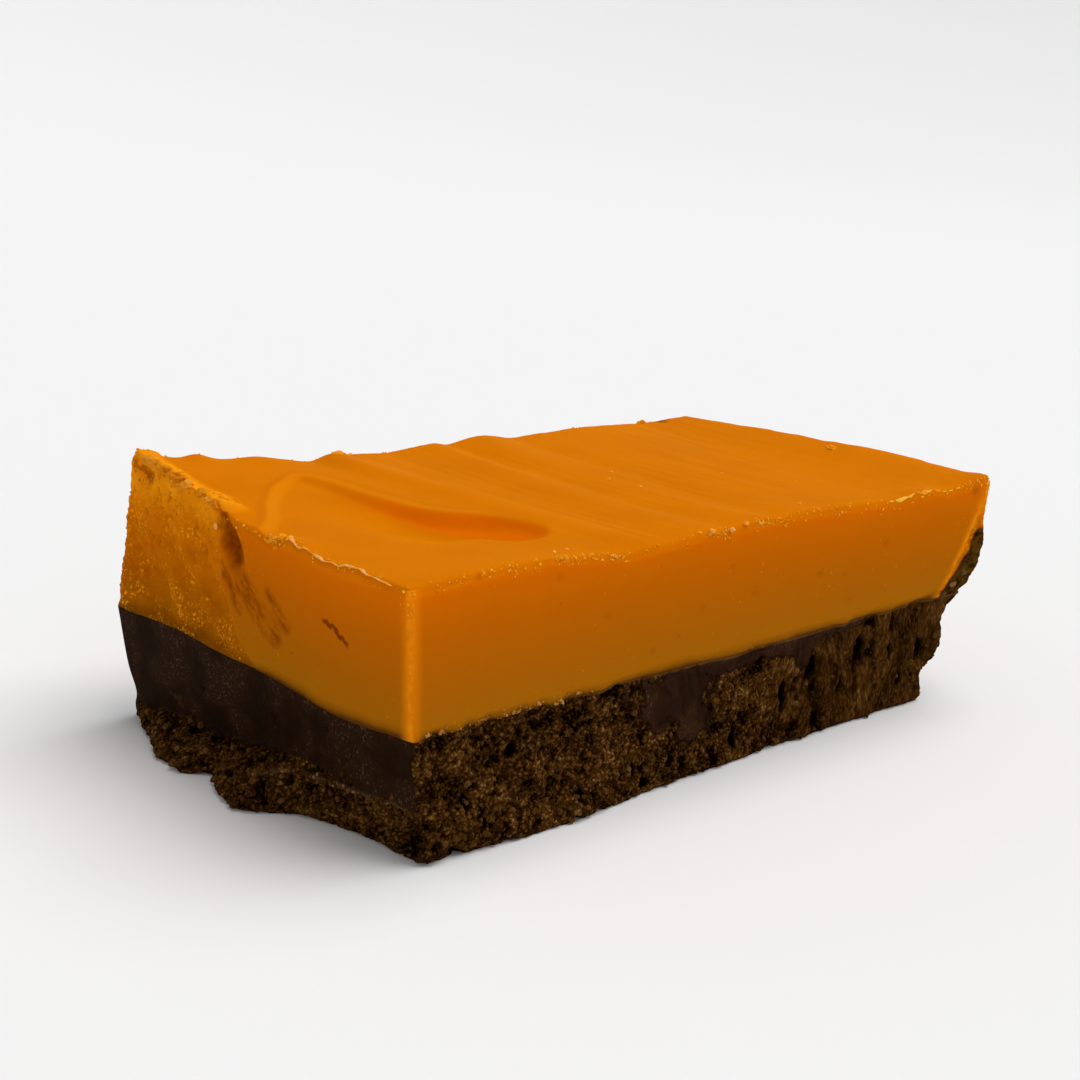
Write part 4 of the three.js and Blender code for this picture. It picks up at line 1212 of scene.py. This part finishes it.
CREST_BITS = [(-48.8, 20.5, ON_TOP, 1.6, 0.9, 0.6, 85), (-48.6, 15, ON_TOP, 1.4, 0.9, 0.5, 70),
              (-48.9, 27, ON_TOP, 1.5, 1.0, 0.7, 95), (-49.6, 10.6, ON_TOP, 0.9, 0.5, 0.4, 60),
              (-49.2, 23.2, ON_TOP, 1.2, 0.8, 0.5, 80), (-49.3, 17.6, ON_TOP, 1.0, 0.7, 0.5, 60)]
TAN_BITS = [(-50.35, 25.2, 13.5, 0.25, 0.35, 0.42, 0), (52.7, -28.9, 18.8, 0.5, 0.25, 0.4, 0),
            (50.6, -28.9, 17.4, 0.7, 0.25, 0.35, 0), (48.6, -28.8, 16.2, 0.6, 0.25, 0.3, 0),
            (-50.3, 19.7, 12.9, 0.2, 0.3, 0.2, 0)]


def new_bit(name, mesh, finish, tints):
    mesh.polygons.foreach_set("use_smooth", [True] * len(mesh.polygons))
    write_mask(mesh, "tint", tints)
    mesh.materials.append(CRUMB_SKINS[finish])
    crumb_pieces.append(new_object(name, mesh))
    print(name, "has", len(mesh.vertices), "points")


def bits(name, table, finish):
    builder = bmesh.new()
    tints = []
    for number, (x, y, z, long, wide, high, turn) in enumerate(table):
        z = float(top_height(np.array(x), np.array(y))) - SUNK if z is ON_TOP else z
        ball = bmesh.ops.create_icosphere(builder, subdivisions=4, radius=1)["verts"]
        co = np.array([vertex.co for vertex in ball])
        seen = co + 17 * number
        out = 1 + 0.45 * grain(*seen.T, 0.9) + 0.26 * grain(*seen.T, 0.35) + 0.12 * grain(*seen.T, 0.16)
        co = co * out[:, None] * (long, wide, high)
        a = math.radians(turn)
        placed = np.stack([x + co[:, 0] * math.cos(a) - co[:, 1] * math.sin(a),
                           y + co[:, 0] * math.sin(a) + co[:, 1] * math.cos(a), z + co[:, 2]], -1)
        for vertex, spot in zip(ball, to_frame(placed)):
            vertex.co = spot
        tints += [(number * 0.37) % 1] * len(ball)
    mesh = bpy.data.meshes.new(name)
    builder.to_mesh(mesh)
    builder.free()
    new_bit(name, mesh, finish, tints)


bits("pale_bits", PALE_BITS, "pale")
bits("golden_bits", GOLDEN_BITS, "golden")
bits("crest_bits", CREST_BITS, "torn")
bits("chocolate_tan_bits", TAN_BITS, "tan")


# %% Curls along the edges
CURL_SIDES = 8


def edge_line(side, low, high, steps):
    start = sum(ORANGE_STEPS[:side])
    line = np.stack([orange_walls[key][-1][start:start + ORANGE_STEPS[side]] for key in "xyz"], -1)
    at = line[:, side % 2]
    order = np.argsort(at)
    want = np.linspace(low, high, steps)
    return np.stack([np.interp(want, at[order], line[order, axis]) for axis in range(3)], -1)


def curl(name, line, thickness, finish):
    round_it = np.arange(CURL_SIDES) / CURL_SIDES * 2 * math.pi
    way = np.gradient(line, axis=0)
    way /= np.linalg.norm(way, axis=1)[:, None]
    across = np.cross(way, (0, 0, 1))
    across /= np.linalg.norm(across, axis=1)[:, None]
    up = np.cross(across, way)
    share = np.linspace(0, 1, len(line))
    swell = np.clip(0.55 + 0.7 * grain(*line.T, 1.7) + 0.5 * grain(*line.T, 0.5), 0.15, 1.4)
    radius = thickness * swell * smoothstep(share, 0, 0.04) * (1 - smoothstep(share, 0.96, 1)) + 0.01
    away = np.cos(round_it)[None, :, None] * across[:, None] + np.sin(round_it)[None, :, None] * up[:, None]
    skin = (line[:, None] + radius[:, None, None] * away).reshape(-1, 3)
    skin += 0.3 * thickness * np.stack([grain(*(skin + 9 * k).T, 0.6) for k in range(3)], -1)
    skin = to_frame(np.vstack([skin, line[:1], line[-1:]]))
    tip, last = CURL_SIDES * len(line), CURL_SIDES * (len(line) - 1)
    ends = [(tip, (k + 1) % CURL_SIDES, k) for k in range(CURL_SIDES)]
    ends += [(tip + 1, last + k, last + (k + 1) % CURL_SIDES) for k in range(CURL_SIDES)]
    mesh = bpy.data.meshes.new(name)
    mesh.from_pydata(skin.tolist(), [], ring_faces(len(line), CURL_SIDES).tolist() + ends)
    tidy = bmesh.new()
    tidy.from_mesh(mesh)
    bmesh.ops.recalc_face_normals(tidy, faces=tidy.faces)
    tidy.to_mesh(mesh)
    tidy.free()
    new_bit(name, mesh, finish, 0.3 + 0.7 * (grain(*(skin * MILLIMETRES).T, 0.8) > 0))


# The pale curl is a knife burr whose pale colour is partly its own and partly a painted highlight along the
# edge
curl("pale_lip_curl", edge_line(LEFT, -25.5, -5.5, 260), 0.15, "pale")
curl("golden_rim_curl", edge_line(NEAR, 33, 50, 220) + [0, 0.1, 0], 0.26, "golden")

# %% [markdown]
# ## Floor, backdrop and light
# The slab stands on a pale floor that rises slowly far behind it, so there is no horizon. One
# broad light comes from above, a little from the right, like a big softbox, and the pale floor
# throws it back on the faces. A small lamp would give hard shadows that a softbox doesn't give.

# %% Floor
TURNS, FLOOR_RADIUS, RIM_RADIUS, RIM_HEIGHT = 64, 0.8, 2.4, 0.9
profile = [(0.0, 0.0)] + [(r, RIM_HEIGHT * max(0.0, (r - FLOOR_RADIUS) / (RIM_RADIUS - FLOOR_RADIUS)) ** 2)
                          for r in np.linspace(FLOOR_RADIUS, RIM_RADIUS, 12).tolist()]
floor_points, floor_faces = [(0, 0, 0)], []
for radius, height in profile[1:]:
    floor_points += [(radius * math.cos(a), radius * math.sin(a), height)
                     for a in (2 * math.pi * k / TURNS for k in range(TURNS))]
for k in range(TURNS):
    floor_faces.append((0, 1 + k, 1 + (k + 1) % TURNS))
    for row in range(len(profile) - 2):
        a, b = 1 + row * TURNS + k, 1 + row * TURNS + (k + 1) % TURNS
        floor_faces.append((a, a + TURNS, b + TURNS, b))
floor_mesh = bpy.data.meshes.new("floor")
floor_mesh.from_pydata(floor_points, [], floor_faces)
floor_mesh.polygons.foreach_set("use_smooth", [True] * len(floor_faces))
floor = new_object("floor", floor_mesh)
floor_mesh.materials.append(Finish("pale_paper").coat({"Base Color": (0.88, 0.88, 0.88), "Roughness": 0.9}))
print("floor reaches", RIM_RADIUS, "m")

# %% Lights
SUN_FROM, SUN_STRENGTH, SUN_ANGLE, SKY_STRENGTH = (0.42, -0.12, 0.90), 2.3, 55, 0.32
sun = bpy.data.lights.new("overhead", "SUN")
sun.energy, sun.angle = SUN_STRENGTH, math.radians(SUN_ANGLE)
overhead = new_object("overhead", sun)
overhead.rotation_euler = Vector(SUN_FROM).to_track_quat("Z", "Y").to_euler()
world = bpy.data.worlds.new("studio")
bpy.context.scene.world = world
world.use_nodes = True
sky = world.node_tree.nodes["Background"].inputs
sky["Color"].default_value, sky["Strength"].default_value = (1, 1, 1, 1), SKY_STRENGTH
bpy.context.scene.view_settings.view_transform = "Standard"
print("light comes from", SUN_FROM)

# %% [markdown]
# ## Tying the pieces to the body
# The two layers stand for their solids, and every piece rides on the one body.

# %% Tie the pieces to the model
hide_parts("orange_fudge")
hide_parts("chocolate_fudge")
pieces = [orange_slab, chocolate_slab] + crumb_pieces
for piece in pieces:
    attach(piece, "root")
print("pieces:", [piece.name for piece in pieces])
